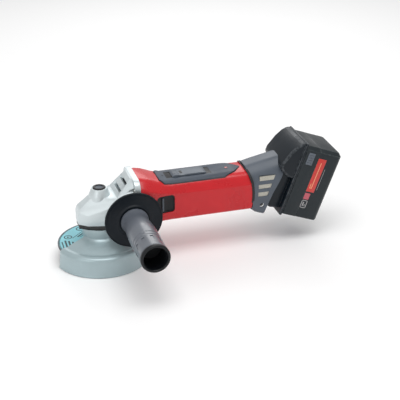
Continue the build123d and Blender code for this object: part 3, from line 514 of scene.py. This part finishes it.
def join_into(shape, other):
    """Adds another bmesh to this one and frees it."""
    mesh = bpy.data.meshes.new("joining")
    other.to_mesh(mesh)
    other.free()
    shape.from_mesh(mesh)
    bpy.data.meshes.remove(mesh)


def box_shape(low, high):
    """A closed box between two corners, in millimetres."""
    shape = bmesh.new()
    bmesh.ops.create_cube(shape, size=1)
    size = mm(*[top - bottom for bottom, top in zip(low, high)])
    bmesh.ops.scale(shape, verts=shape.verts, vec=size)
    bmesh.ops.translate(shape, verts=shape.verts, vec=(mm(*low) + mm(*high)) / 2)
    return shape


def rod_shape(radius, start, end, segments=32):
    """A closed rod between two points, in millimetres."""
    shape = bmesh.new()
    run = mm(*end) - mm(*start)
    bmesh.ops.create_cone(
        shape, cap_ends=True, segments=segments, radius1=mm(radius), radius2=mm(radius), depth=run.length)
    turn = run.to_track_quat("Z", "Y").to_matrix().to_4x4()
    place = Matrix.Translation((mm(*start) + mm(*end)) / 2) @ turn
    bmesh.ops.transform(shape, matrix=place, verts=shape.verts)
    return shape


EASE_STEPS = 4


def eased(points, rounds):
    """Rounds a profile's corners. rounds gives a radius for each point, 0 to leave it."""
    out = []
    count = len(points)
    for index, (point, radius) in enumerate(zip(points, rounds)):
        if radius == 0:
            out.append(point)
            continue
        here = Vector(point)
        before = Vector(points[index - 1]) - here
        after = Vector(points[(index + 1) % count]) - here
        reach = min(radius, before.length * 0.45, after.length * 0.45)
        start = here + before.normalized() * reach
        end = here + after.normalized() * reach
        for step in range(EASE_STEPS + 1):
            part = step / EASE_STEPS
            first = start.lerp(here, part)
            second = here.lerp(end, part)
            eased_point = first.lerp(second, part)
            out.append((eased_point.x, eased_point.y))
    return out


# ---------------------------------------------------------------- camera, light and plain finishes

set_camera()
set_studio()

INNER_FINISHES = {
    "plate_screws": ZINC, "head_screws": ZINC, "spindle": GROUND_STEEL, "spindle_bush": BRONZE,
    "lower_bearing_outer": GROUND_STEEL, "lower_bearing_inner": GROUND_STEEL, "crown_gear": BLUED_STEEL,
    "pinion_gear": BLUED_STEEL, "lock_pin": GROUND_STEEL,
    "inner_flange": GROUND_STEEL, "clamp_nut": BLUED_STEEL, "guard_clamp_bolt": ZINC,
    "air_baffle": BLACK_NYLON, "motor_can": GROUND_STEEL, "magnets": FERRITE,
    "armature_shaft": GROUND_STEEL, "armature_core": BLUED_STEEL, "armature_windings": COPPER,
    "commutator": COPPER, "fan": BLACK_NYLON, "front_bearing_outer": GROUND_STEEL,
    "front_bearing_inner": GROUND_STEEL, "rear_bearing": GROUND_STEEL, "motor_end_plate": BLACK_NYLON,
    "brush_holders": BRONZE, "carbon_brushes": CARBON, "brush_springs": GROUND_STEEL,
    "switch_rod": BLACK_NYLON, "switch_module": BLACK_NYLON, "electronics_module": BOARD_GREEN,
    "terminal_block": BLACK_NYLON, "pack_cells": CELL_SLEEVE, "pack_board": BOARD_GREEN,
    "handle_stud": ZINC, "dust_filters": FILTER_MESH,
}
for node, skin in INNER_FINISHES.items():
    NODES[node].data.materials.clear()
    NODES[node].data.materials.append(skin)

SOFTENED = {
    "bearing_plate": (BLACK_ENAMEL, 0.6),
    "side_vent_right": (BLACK_NYLON, 0.4),
    "side_vent_left": (BLACK_NYLON, 0.4),
    "top_panel": (SOFT_TOUCH, 0.4),
    "led_lens": (RED_LENS, 0.3),
    "sealing_ring": (RING_RUBBER, 0.5),
    "pack_rail_case": (PACK_NYLON, 0.8),
    "release_button_right": (SLIDE_NYLON, 0.3),
    "release_button_left": (SLIDE_NYLON, 0.3),
}
for node, (skin, width) in SOFTENED.items():
    softened(node, skin, width)


# ---------------------------------------------------------------- guard and disc

def make_guard():
    """Spun cone with a rolled bead, a skirt with a hemmed lip, and the split clamping collar."""
    cover = turned_shape(eased([
        (25.6, 26.6), (27.2, 25.0), (30.2, 23.2), (38, 20.8), (48, 17.8), (55.6, 15.0),
        (58.6, 15.7), (62.0, 15.0), (65.0, 13.4), (66.4, 10.6), (66.2, 8.0), (66.5, 5.0), (67.9, -10.5),
        (68.5, -11.5), (68.5, -13.2), (67.9, -14), (66.9, -14), (66.0, -10), (64.6, 6), (64.2, 9.8),
        (60.4, 12.4), (55.4, 13.4), (37.4, 18.6), (28, 22.0), (25.6, 22.6),
    ], [0, 2, 4, 6, 6, 2, 2, 2, 2, 1, 1, 1, 1, 0.6, 0.6, 0.5, 0.5, 1, 3, 1, 3, 3, 3, 1, 0]), 96, True, 180)
    ends = [edge for edge in cover.edges if len(edge.link_faces) == 1]
    bmesh.ops.holes_fill(cover, edges=ends, sides=0)
    turn_about_z(cover, GUARD_START)
    collar = turned_shape(eased(
        [(24.6, 22.2), (26.5, 22.2), (26.5, 39.2), (24.6, 39.2)], [0.4, 0.4, 0.8, 0.4]), 120, True, 354.4)
    bmesh.ops.holes_fill(collar, edges=[edge for edge in collar.edges if len(edge.link_faces) == 1], sides=0)
    turn_about_z(collar, GUARD_GAP_START)
    join_into(cover, collar)
    for side in (-1, 1):
        lug = box_shape((min(side * 1.2, side * 7), 25.4, 29.5), (max(side * 1.2, side * 7), 35.6, 37.5))
        round_edges(lug, mm(1.0))
        join_into(cover, lug)
    bmesh.ops.recalc_face_normals(cover, faces=cover.faces)
    into_scene("guard_pressing", cover, GUARD_LACQUER, "guard_ring", ["guard"], 32)


DISC_FACE = 10.25


def disc_ring(inner, outer, proud, steps=96):
    """A flat printed ring lying on the disc's upper face."""
    low = DISC_FACE + proud - 0.08
    return turned_shape([(inner, low), (outer, low), (outer, low + 0.08), (inner, low + 0.08)], steps)


def disc_bar(width, length, turn, radius):
    """A flat printed bar lying across a radius of the disc."""
    bar = box_shape((-width / 2, -length / 2, DISC_FACE + 0.05), (width / 2, length / 2, DISC_FACE + 0.13))
    place_round(bar, turn, radius)
    return bar


def make_disc():
    """Bonded disc with a printed paper face: a rim ring, round symbols and plain bars."""
    wheel = turned_shape(eased(
        [(11.2, 7.75), (62.5, 7.75), (62.5, DISC_FACE), (11.2, DISC_FACE)], [0, 0.3, 0.3, 0]), 128)
    into_scene("disc_wheel", wheel, ABRASIVE, "spindle_unit", ["grinding_disc"], 30)
    paper = disc_ring(20.5, 60.6, 0.08, 128)
    into_scene("disc_label", paper, DISC_PAPER, "spindle_unit")
    marks = disc_ring(59.4, 60.3, 0.13, 128)
    join_into(marks, disc_ring(24.0, 24.8, 0.13))
    for index in range(4):
        turn = math.radians(index * 90 + 26)
        for angle in (0.0, 0.62):
            symbol = disc_ring(4.4, 6.0, 0.13, 32)
            inner = bmesh.new()
            bmesh.ops.create_cone(
                inner, cap_ends=True, segments=3, radius1=mm(3.0), radius2=mm(3.0), depth=mm(0.08))
            bmesh.ops.translate(inner, verts=inner.verts, vec=mm(0, 0, DISC_FACE + 0.09))
            join_into(symbol, inner)
            place_round(symbol, turn + angle, 50)
            join_into(marks, symbol)
        for row, length in enumerate((19, 25, 21, 13)):
            join_into(marks, disc_bar(2.6 if row else 1.6, length, turn + 1.08, 55.5 - row * 5.0))
        for width, length, radius in ((1.0, 30, 40), (2.4, 16, 36), (1.0, 12, 32.5)):
            join_into(marks, disc_bar(width, length, turn + 0.3, radius))
    into_scene("disc_print", marks, DISC_INK, "spindle_unit")


def place_round(shape, turn, radius):
    """Moves a mark out along X by a radius, then turns it about Z."""
    bmesh.ops.translate(shape, verts=shape.verts, vec=mm(radius, 0, 0))
    turn_about_z(shape, turn)


def make_lock_button():
    ring = turned_shape(eased([
        (5.4, 94.6), (5.4, 96.0), (6.2, 96.5), (8.5, 96.5), (9.3, 95.6), (9.3, 90.2), (7.6, 90.0), (5.4, 91),
    ], [0.2, 0.4, 0.4, 0.5, 0.5, 0.2, 0.2, 0.2]), 64)
    into_scene("lock_button_ring", ring, BLACK_NYLON, "lock", ["lock_button"])
    cap = turned_shape(eased([
        (0.02, 94.5), (3.0, 94.6), (4.6, 95.1), (5.4, 95.5), (5.4, 91.5), (0.02, 91.5),
    ], [0, 1, 1, 0.3, 0.3, 0]), 48)
    for rib in range(5):
        bar = box_shape((-3.6 + rib * 1.6, -2.6, 94.3), (-2.8 + rib * 1.6, 2.6, 95.05))
        round_edges(bar, mm(0.2))
        join_into(cap, bar)
    into_scene("lock_button_thumb_pad", cap, SLIDE_NYLON, "lock")


# ---------------------------------------------------------------- side handle

HANDLE_PLACE = Matrix.Translation(mm(37.5, 0, 62)) @ Matrix.Rotation(math.radians(90), 4, "X")


def handle_turned(profile, rounds, steps=96):
    """A spun piece on the handle's axis from (radius, distance out) points."""
    return turned_shape(eased(profile, rounds), steps)


def onto_handle(shape):
    bmesh.ops.transform(shape, matrix=HANDLE_PLACE, verts=shape.verts)
    return shape


def make_handle():
    """Hand flange with its raised collar, ringed grip with a band of windows, and the deep end cup."""
    flange = handle_turned([
        (4, 38), (13, 38), (14.5, 45), (20, 47), (39.5, 47.4), (41.7, 48.6), (41.7, 50.4), (40.2, 51.6),
        (38.8, 50.6), (30, 50.7), (24.5, 51.8), (23.4, 53.2), (22.6, 54.0), (21.8, 54.0), (20.8, 53.6),
        (16.4, 53.4), (12, 53.4), (12, 134), (9, 134), (9, 90), (4, 90),
    ], [0, 1, 1, 1.5, 1.2, 0.8, 0.8, 0.8, 1, 3, 2, 1.5, 0.6, 0.6, 0.6, 0.6, 0, 0, 0, 0, 0], 128)
    into_scene("hand_flange", onto_handle(flange), FLANGE_NYLON, "housing", ["handle_core"], 32)
    grip = handle_turned([
        (12, 53.6), (19.4, 53.6), (20.0, 56.0), (18.6, 60.5), (17.5, 68), (19.2, 84), (20.4, 102),
        (20.1, 122.5),
        (19.3, 123.3), (19.3, 125.3), (20.0, 126.1), (19.9, 130.4), (19.2, 131.2), (19.2, 132.6),
        (20.0, 133.4), (19.8, 150), (20.3, 161.4), (19.8, 163), (17, 163), (17, 134), (12, 134),
    ], [0, 0.6, 1.6, 5, 6, 8, 8, 0.5, 0.4, 0.4, 0.5, 0.5, 0.4, 0.4, 0.5, 4, 1, 0.6, 0, 0, 0], 96)
    sleeve = into_scene("handle_grip_sleeve", onto_handle(grip), GRIP_RUBBER, "housing", ["handle_grip"], 40)
    windows = bmesh.new()
    for index in range(10):
        pocket = box_shape((19.1, -2.2, 137), (24, 2.2, 147.5))
        turn_about_z(pocket, math.radians(index * 36 + 12))
        join_into(windows, pocket)
    carve(sleeve, [onto_handle(windows)], 40)
    cup = handle_turned([
        (0.02, 134), (17, 134), (17, 162.4), (20.2, 163), (20.6, 165), (20.4, 167.4), (19.3, 168.9),
        (17.6, 168.9), (16.4, 167.4), (15.8, 164), (15.2, 136), (0.02, 136),
    ], [0, 0.4, 0.4, 0.6, 1, 1, 0.8, 0.8, 0.8, 1, 1, 0], 96)
    into_scene("handle_end_cup", onto_handle(cup), BLACK_NYLON, "housing", ["handle_cap"], 40)


# ---------------------------------------------------------------- red housing

def lofted(sections, closed_ends=False):
    """A skin through rings of points, made by extruding each ring into the next."""
    shape = bmesh.new()
    ring = [shape.verts.new(point) for point in sections[0]]
    count = len(ring)
    edges = [shape.edges.new((ring[index], ring[(index + 1) % count])) for index in range(count)]
    if closed_ends:
        shape.faces.new(ring)
    for section in sections[1:]:
        made = bmesh.ops.extrude_edge_only(shape, edges=edges)
        fresh = [item for item in made["geom"] if isinstance(item, bmesh.types.BMVert)]
        spots = {tuple(round(part, 7) for part in vert.co): vert for vert in fresh}
        ring = [spots[tuple(round(part, 7) for part in vert.co)] for vert in ring]
        ring_set = set(ring)
        edges = [item for item in made["geom"] if isinstance(item, bmesh.types.BMEdge)
                 and item.verts[0] in ring_set and item.verts[1] in ring_set]
        for vert, point in zip(ring, section):
            vert.co = point
    if closed_ends:
        shape.faces.new(ring)
    bmesh.ops.recalc_face_normals(shape, faces=shape.faces)
    return shape


def mixed(stations, x):
    """Interpolates a table of (x, values...) rows smoothly."""
    if x <= stations[0][0]:
        return stations[0][1:]
    for first, second in zip(stations, stations[1:]):
        if x <= second[0]:
            part = (x - first[0]) / (second[0] - first[0])
            return [a + (b - a) * part for a, b in zip(first[1:], second[1:])]
    return stations[-1][1:]


# x, half width, bottom, bottom corner, crease height, shoulder half width, shoulder height, top,
# crease rounding
RED_STATIONS = [
    (52, 36.0, 41.5, 13, 97.0, 22.5, 110.0, 110.5, 5),
    (56, 36.0, 41.6, 13, 96.8, 22.5, 110.0, 110.5, 4.5),
    (64, 35.6, 41.9, 13, 95.0, 22.5, 108.4, 109.2, 3.5),
    (72, 34.6, 42.2, 13, 92.2, 22.6, 105.4, 106.4, 2.6),
    (80, 33.0, 42.4, 13, 89.6, 22.8, 102.0, 103.4, 2.0),
    (88, 31.4, 42.5, 13, 87.4, 23.0, 99.6, 101.2, 1.8),
    (98, 30.6, 42.5, 13, 85.4, 23.0, 98.8, 100.5, 1.8),
    (120, 30.5, 42.5, 13, 84.0, 23.0, 98.7, 100.5, 1.8),
    (222, 30.5, 42.5, 13, 83.0, 23.0, 98.7, 100.5, 1.8),
]


def parting_x(z):
    """The curved front of the rubber ring, for a height in millimetres."""
    low, mid, high = (39, 215), (75, 218.5), (107, 210)
    total = 0
    for (za, xa), (zb, _), (zc, _) in ((low, mid, high), (mid, low, high), (high, low, mid)):
        total += xa * (z - zb) * (z - zc) / ((za - zb) * (za - zc))
    return total


def red_section(x):
    width, bottom, corner, crease, shoulder_y, shoulder_z, top, sharp = mixed(RED_STATIONS, x)
    side = eased([
        (0, bottom), (width * 0.5, bottom), (width, bottom), (width, (bottom + crease) / 2), (width, crease),
        (shoulder_y, shoulder_z), (0, top),
    ], [0, 0, corner, 0, sharp, 7, 0])
    points = side + [(-y, z) for y, z in reversed(side[1:-1])]
    return [(x, y, z) for y, z in points]


def make_red_housing():
    """Moulded red body: boxy at the head, waisted into the grip, with a crease along each side."""
    sections = []
    for x in (52, 54, 56, 60, 64, 68, 72, 76, 80, 84, 88, 93, 98, 108, 120, 150, 180, 200):
        sections.append([mm(*point) for point in red_section(x)])
    end = [mm(parting_x(z) + 1.6, y, z) for _, y, z in red_section(214)]
    sections.append(end)
    shell = lofted(sections)
    bmesh.ops.solidify(shell, geom=shell.faces[:], thickness=mm(2.4))
    bmesh.ops.recalc_face_normals(shell, faces=shell.faces)
    body = into_scene("red_body", shell, RED_NYLON, "housing", ["motor_housing"], 30)
    cutters = []
    slot = box_shape((98, -8.5, 92), (158, 8.5, 107))
    cutters.append(slot)
    for side in (-1, 1):
        pocket = box_shape((75.6, side * 33 - 9, 56.6), (102.4, side * 33 + 9, 83.4))
        posts = [edge for edge in pocket.edges if abs((edge.verts[0].co - edge.verts[1].co).y) > mm(1)]
        bmesh.ops.bevel(pocket, geom=posts, offset=mm(5), offset_type="OFFSET", segments=5, profile=0.5,
                        affect="EDGES", material=-1)
        cutters.append(pocket)
    carve(body, cutters, 30)


def carve(piece, cutters, smooth=30):
    """Cuts closed shapes out of a piece and keeps the result as its mesh."""
    for number, shape in enumerate(cutters):
        mesh = bpy.data.meshes.new("cutter")
        shape.to_mesh(mesh)
        shape.free()
        tool = bpy.data.objects.new("cutter", mesh)
        bpy.context.scene.collection.objects.link(tool)
        cut = piece.modifiers.new("cut", "BOOLEAN")
        cut.operation = "DIFFERENCE"
        cut.solver = "EXACT"
        cut.object = tool
        bpy.context.view_layer.update()
        graph = bpy.context.evaluated_depsgraph_get()
        result = bpy.data.meshes.new_from_object(piece.evaluated_get(graph))
        piece.modifiers.clear()
        old = piece.data
        name = old.name
        piece.data = result
        bpy.data.meshes.remove(old)
        result.name = name
        bpy.data.objects.remove(tool)
        bpy.data.meshes.remove(mesh)
    for face in piece.data.polygons:
        face.use_smooth = True
    piece.data.set_sharp_from_angle(angle=math.radians(smooth))


# ---------------------------------------------------------------- switch

def make_switch():
    """Thumb slide with a stepped front and fine ribs, over a black track."""
    track = box_shape((96.2, -10.8, 99.2), (162.8, 10.8, 100.7))
    piece = into_scene("switch_track", track, BLACK_NYLON, "housing")
    carve(piece, [box_shape((98, -8.4, 98), (153, 8.4, 102))])
    slide = bmesh.new()
    outline = [(105, 100.9), (105, 101.7), (107, 103.8), (111, 104.4), (114.5, 104.1), (118, 103.0),
               (123, 103.0), (126, 103.7), (149, 103.6), (153.5, 102.7), (156, 101.3), (156, 100.9)]
    verts = [slide.verts.new(mm(x, -10.4, z)) for x, z in outline]
    face = slide.faces.new(verts)
    pulled_out(slide, face, mm(0, 20.8, 0))
    round_edges(slide, mm(0.8), 40, 3)
    for rib in range(5):
        front = 107.6 + rib * 1.7
        bar = box_shape((front, -7.5, 103.6), (front + 0.8, 7.5, 104.75 - 0.12 * abs(rib - 2)))
        round_edges(bar, mm(0.2))
        join_into(slide, bar)
    neck = box_shape((108, -7.6, 97.6), (150, 7.6, 101.2))
    join_into(slide, neck)
    into_scene("thumb_slide", slide, SLIDE_NYLON, "switch", ["switch_slider"], 35)
    window = box_shape((116.5, -4.5, 102.6), (121.5, 4.5, 103.2))
    round_edges(window, mm(0.25))
    into_scene("thumb_slide_mark", window, BLACK_NYLON, "switch")
    bed = panel_patch(1.1, 0.35)
    into_scene("panel_gasket", bed, RING_RUBBER, "housing")


def panel_patch(margin, proud):
    """A strip of the housing's top skin, cut to the panel's outline with a margin."""
    sections = []
    for x in (76, 80, 84, 88, 93, 98, 108, 120, 150, 180, 200, 216):
        ring = []
        for _, y, z in red_section(x):
            lift = proud if z > 80 else 0
            spread_out = 1 + proud / 30.5
            ring.append(mm(x, y * spread_out, z + lift))
        sections.append(ring)
    patch = lofted(sections)
    outline = [(84 - margin, 0), (84 - margin, 16), (90 - margin / 2, 22.5 + margin),
               (179 + margin / 2, 22.5 + margin), (196 + margin, 14 + margin / 2), (207 + margin, 2),
               (207 + margin, 0)]
    bmesh.ops.bisect_plane(
        patch, geom=everything(patch), plane_co=mm(0, 0, 84), plane_no=(0, 0, -1),
        clear_outer=True)
    for side in (1, -1):
        for first, second in zip(outline, outline[1:]):
            along = Vector((second[0] - first[0], (second[1] - first[1]) * side, 0))
            if along.length < 0.01:
                continue
            out = Vector((along.y, -along.x, 0)) * side
            out = -out if out.dot(Vector((first[0] - 145, first[1] * side, 0))) < 0 else out
            bmesh.ops.bisect_plane(
                patch, geom=everything(patch),
                plane_co=mm(first[0], first[1] * side, 0), plane_no=out.normalized(), clear_outer=True)
    bmesh.ops.recalc_face_normals(patch, faces=patch.faces)
    if sum(face.normal.z for face in patch.faces) < 0:
        bmesh.ops.reverse_faces(patch, faces=patch.faces)
    bmesh.ops.solidify(patch, geom=patch.faces[:], thickness=mm(0.8))
    return patch


# ---------------------------------------------------------------- tail, foot and battery

PACK_PLACE = Matrix.Translation(mm(264.6, 0, 33.6)) @ Matrix.Rotation(math.radians(20.5), 4, "Y")

# x, half width, bottom, top, bottom corner
TAIL_STATIONS = [
    (206, 30.8, 42.4, 102.6, 12),
    (213, 31.0, 41.6, 104.2, 12),
    (222, 31.2, 38.0, 106.2, 12),
    (232, 31.2, 33.8, 108.4, 12),
    (245, 31.2, 29.4, 111.0, 12),
    (262, 31.2, 27.0, 114.5, 12),
    (290, 31.2, 27.0, 118.0, 12),
]


def tail_section(x, bend=None):
    width, bottom, top, corner = mixed(TAIL_STATIONS, x)
    side = eased([
        (0, bottom), (width * 0.5, bottom), (width, bottom), (width, (bottom + top) / 2), (width, top - 27),
        (width - 6.5, top - 9.5), (width - 20, top), (0, top),
    ], [0, 0, corner, 0, 14, 12, 12, 0])
    points = side + [(-y, z) for y, z in reversed(side[1:-1])]
    ring = []
    for y, z in points:
        here = parting_x(z) + 2.6 if bend else x
        ring.append(mm(here, y, z))
    return ring


def make_tail():
    """Two half shells: nearly cylindrical on top, flat sided, cut off parallel to the battery."""
    for side, hand in ((-1, "right"), (1, "left")):
        sections = [tail_section(213, True)]
        for x in (224, 232, 240, 250, 262, 276, 290):
            sections.append(tail_section(x))
        shell = lofted(sections)
        tilt = PACK_PLACE.to_3x3()
        bmesh.ops.bisect_plane(
            shell, geom=everything(shell), plane_co=PACK_PLACE @ mm(-11.5, 0, 0),
            plane_no=tilt @ Vector((1, 0, 0)), clear_outer=True)
        bmesh.ops.bisect_plane(
            shell, geom=everything(shell), plane_co=mm(0, 0, 0), plane_no=(0, -side, 0), clear_outer=True)
        bmesh.ops.recalc_face_normals(shell, faces=shell.faces)
        outward = sum((face.normal.y * side) * face.calc_area() for face in shell.faces)
        if outward < 0:
            bmesh.ops.reverse_faces(shell, faces=shell.faces)
        bmesh.ops.solidify(shell, geom=shell.faces[:], thickness=mm(2.4))
        bmesh.ops.recalc_face_normals(shell, faces=shell.faces)
        piece = into_scene("tail_shell_" + hand, shell, TAIL_NYLON, "housing", ["tail_cover_" + hand], 30)
        # The slanted step cuts away the tail's lower rear corner so the dark foot core shows there as
        # painted shade.
        step = prism([(-27, -30), (-24, 24), (-18.5, 61.5), (0, 61.5), (0, -30)], 50)
        bmesh.ops.transform(step, matrix=PACK_PLACE, verts=step.verts)
        cutters = [step]
        for x, z, head_side in ((234, 48, -1), (225, 98, 1), (262, 98, 1)):
            if head_side == side:
                cutters.append(rod_shape(3.3, (x, side * 24, z), (x, side * 40, z)))
        for start, end, z in ((230, 254, 90.0), (228.5, 249.5, 77.5), (228, 245, 65.5)):
            slot = bmesh.new()
            corners = [(start, z - 3.5), (end - 2.5, z - 3.5), (end, z + 3.5), (start, z + 3.5)]
            face = slot.faces.new([slot.verts.new(mm(x, side * 26, up)) for x, up in corners])
            pulled_out(slot, face, mm(0, side * 14, 0))
            cutters.append(slot)
        carve(piece, cutters, 30)


def make_tail_screws():
    """Three pan head screws with a star recess, sunk in their wells."""
    screws = None
    for x, z, deep, face in ((234, 48, 17, -28.6), (225, 98, 10, 20.5), (262, 98, 10, 20.5)):
        out = 1 if face > 0 else -1
        screw = turned_shape(eased([
            (0.02, face - out * deep), (1.7, face - out * deep), (1.7, face - out * 2.6),
            (3.15, face - out * 2.6), (3.15, face - out * 0.9), (1.5, face), (1.3, face),
            (1.2, face - out * 1.6), (0.02, face - out * 1.6),
        ], [0, 0.2, 0, 0.2, 1.2, 0.2, 0.1, 0.1, 0]), 32)
        for turn in range(3):
            arm = box_shape((-1.9, -0.35, min(face - out * 0.9, face - out * 0.25)),
                            (1.9, 0.35, max(face - out * 0.9, face - out * 0.25)))
            turn_about_z(arm, turn * math.pi / 3)
            join_into(screw, arm)
        bmesh.ops.transform(screw, matrix=Matrix.Rotation(math.radians(-90), 4, "X"), verts=screw.verts)
        bmesh.ops.translate(screw, verts=screw.verts, vec=mm(x, 0, z))
        if screws is None:
            screws = screw
        else:
            join_into(screws, screw)
    into_scene("tail_pan_screws", screws, BLACK_ENAMEL, "housing", ["tail_screws"], 35)


def prism(points, half_width):
    """An (x, z) outline pulled out to both sides of the middle plane."""
    shape = bmesh.new()
    face = shape.faces.new([shape.verts.new(mm(x, -half_width, z)) for x, z in points])
    pulled_out(shape, face, mm(0, 2 * half_width, 0))
    return shape


def make_foot():
    """The battery foot: a rim plate as wide as the battery, a rounded shoulder and a dark core below; where
    the tail is cut away the dark core shows and stands in for the shade on the tail's lower rear corner.
    """
    rim = prism([(-4.5, -4), (-5, 60), (-5, 106), (-3.2, 110.8), (-0.35, 111), (-0.35, -4)], 37)
    round_edges(rim, mm(1.6), 30, 3)
    shoulder = prism([
        (-3, 54), (-12, 54.5), (-22, 59), (-29.5, 65.5), (-29, 74), (-22.5, 92), (-16, 103), (-9.5, 109.6),
        (-3, 110.6),
    ], 35.4)
    round_edges(shoulder, mm(6.0), 24, 6)
    join_into(rim, shoulder)
    # The dark core is partly the foot's own moulding and partly painted shade: it fills the tail's cut-away
    # lower rear corner, which lies in shade.
    core = prism([(-27, 5), (-22, 62), (-4, 62), (-4, 3), (-20, 1)], 28.6)
    round_edges(core, mm(2.5), 30, 3)
    join_into(rim, core)
    rail_stem = box_shape((-1, -15, 2), (4.4, 15, 100))
    rail_head = box_shape((4.3, -20, 2), (8.6, 20, 100))
    round_edges(rail_head, mm(0.6))
    join_into(rim, rail_stem)
    join_into(rim, rail_head)
    bmesh.ops.transform(rim, matrix=PACK_PLACE, verts=rim.verts)
    into_scene("foot_moulding", rim, FOOT_NYLON, "housing", ["battery_foot"], 32)


def make_pack_trim():
    """Red plates with a raised plain stroke, and a square, a pale badge and a rule printed beside them."""
    plates = None
    for side in (-1, 1):
        low, high = sorted((side * 36.9, side * 37.5))
        plate = box_shape((22, low, 41), (35, high, 94))
        round_edges(plate, mm(0.25))
        if plates is None:
            plates = plate
        else:
            join_into(plates, plate)
    bmesh.ops.transform(plates, matrix=PACK_PLACE, verts=plates.verts)
    into_scene("pack_name_plates", plates, RED_PLATE, "battery", ["pack_labels"])
    for name, skin, start, end in (
        ("pack_square_print", PINK_INK, (22.4, 28.5), (31.0, 38.5)),
        ("pack_badge_frame", PALE_INK, (22.0, 14.5), (31.4, 27.0)),
        ("pack_rule_print", PALE_INK, (37.8, 46), (38.3, 80)),
        ("pack_wave_print", WAVE_INK, (27.6, 48), (29.0, 88)),
    ):
        print_shape = None
        for side in (-1, 1):
            low, high = sorted((side * 36.9, side * 37.12))
            if name == "pack_wave_print":
                low, high = sorted((side * 37.4, side * 37.6))
                patch = box_shape((start[0], low, start[1]), (end[0], high, end[1]))
                join_into(patch, box_shape((24.8, low, start[1] - 1.4), (end[0], high, start[1])))
                join_into(patch, box_shape((24.8, low, start[1]), (26.0, high, start[1] + 6)))
            elif name == "pack_badge_frame":
                patch = frame_shape(start, end, 1.1, low, high)
            else:
                patch = box_shape((start[0], low, start[1]), (end[0], high, end[1]))
            if print_shape is None:
                print_shape = patch
            else:
                join_into(print_shape, patch)
        bmesh.ops.transform(print_shape, matrix=PACK_PLACE, verts=print_shape.verts)
        into_scene(name, print_shape, skin, "battery")


def frame_shape(start, end, width, low, high):
    """A flat rectangular frame on the battery's side with a bar and a dot inside."""
    whole = box_shape((start[0], low, start[1]), (end[0], high, start[1] + width))
    for a, b in (
        ((start[0], end[1] - width), end),
        (start, (start[0] + width, end[1])),
        ((end[0] - width, start[1]), end),
        ((start[0] + 2.6, start[1] + 3.0), (start[0] + 4.4, end[1] - 3.0)),
        ((start[0] + 5.6, start[1] + 3.0), (start[0] + 6.8, start[1] + 6.0)),
    ):
        join_into(whole, box_shape((a[0], low, a[1]), (b[0], high, b[1])))
    return whole


def make_vent_bars():
    """A pale upright rib standing in each side vent."""
    for side, name in ((-1, "vent_rib_right"), (1, "vent_rib_left")):
        low, high = sorted((side * 31.6, side * 32.5))
        rib = box_shape((83.6, low, 60), (86.0, high, 80))
        round_edges(rib, mm(0.4))
        into_scene(name, rib, TAIL_NYLON, "housing")


def make_gear_head():
    """The casting with softened edges, its two long air slots, and the black baffle behind them."""
    head = softened("gear_housing", CAST_ALUMINIUM, 0.9)
    cutters = []
    for x, z in ((26.4, 92.5), (34.8, 102.5)):
        slot = box_shape((-2.3, -17.6, -8), (2.3, 17.6, 8))
        bmesh.ops.rotate(
            slot, verts=slot.verts, cent=(0, 0, 0), matrix=Matrix.Rotation(-HEAD_RAMP_TILT, 3, "Y"))
        bmesh.ops.translate(slot, verts=slot.verts, vec=mm(x, 0, z))
        cutters.append(slot)
    carve(head, cutters, 35)
    baffle = prism([(30.5, 88), (50, 88), (50, 104.5), (42.6, 104.5)], 13.8)
    round_edges(baffle, mm(0.6))
    into_scene("head_air_baffle", baffle, BLACK_NYLON, "housing")


def make_lock_spring():
    """The button's return spring, kept as a fixed copy of its coil on the housing."""
    coil = copied("lock_spring")
    spring = into_scene("lock_return_spring", coil, GROUND_STEEL, "housing", ["lock_spring"], 60)
    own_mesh(spring)


def make_pack_shell():
    """The battery's outer case with three finger grooves across its back."""
    shell = softened("pack_case", PACK_NYLON, 0.8)
    grooves = []
    for height in (78, 84, 90):
        groove = box_shape((57.2, -25, height - 1.2), (60, 25, height + 1.2))
        round_edges(groove, mm(0.5))
        bmesh.ops.transform(groove, matrix=PACK_PLACE, verts=groove.verts)
        grooves.append(groove)
    carve(shell, grooves, 35)


make_gear_head()
make_lock_spring()
make_pack_shell()
make_vent_bars()
make_guard()
make_disc()
make_lock_button()
make_handle()
make_red_housing()
make_switch()
make_tail()
make_tail_screws()
make_foot()
make_pack_trim()
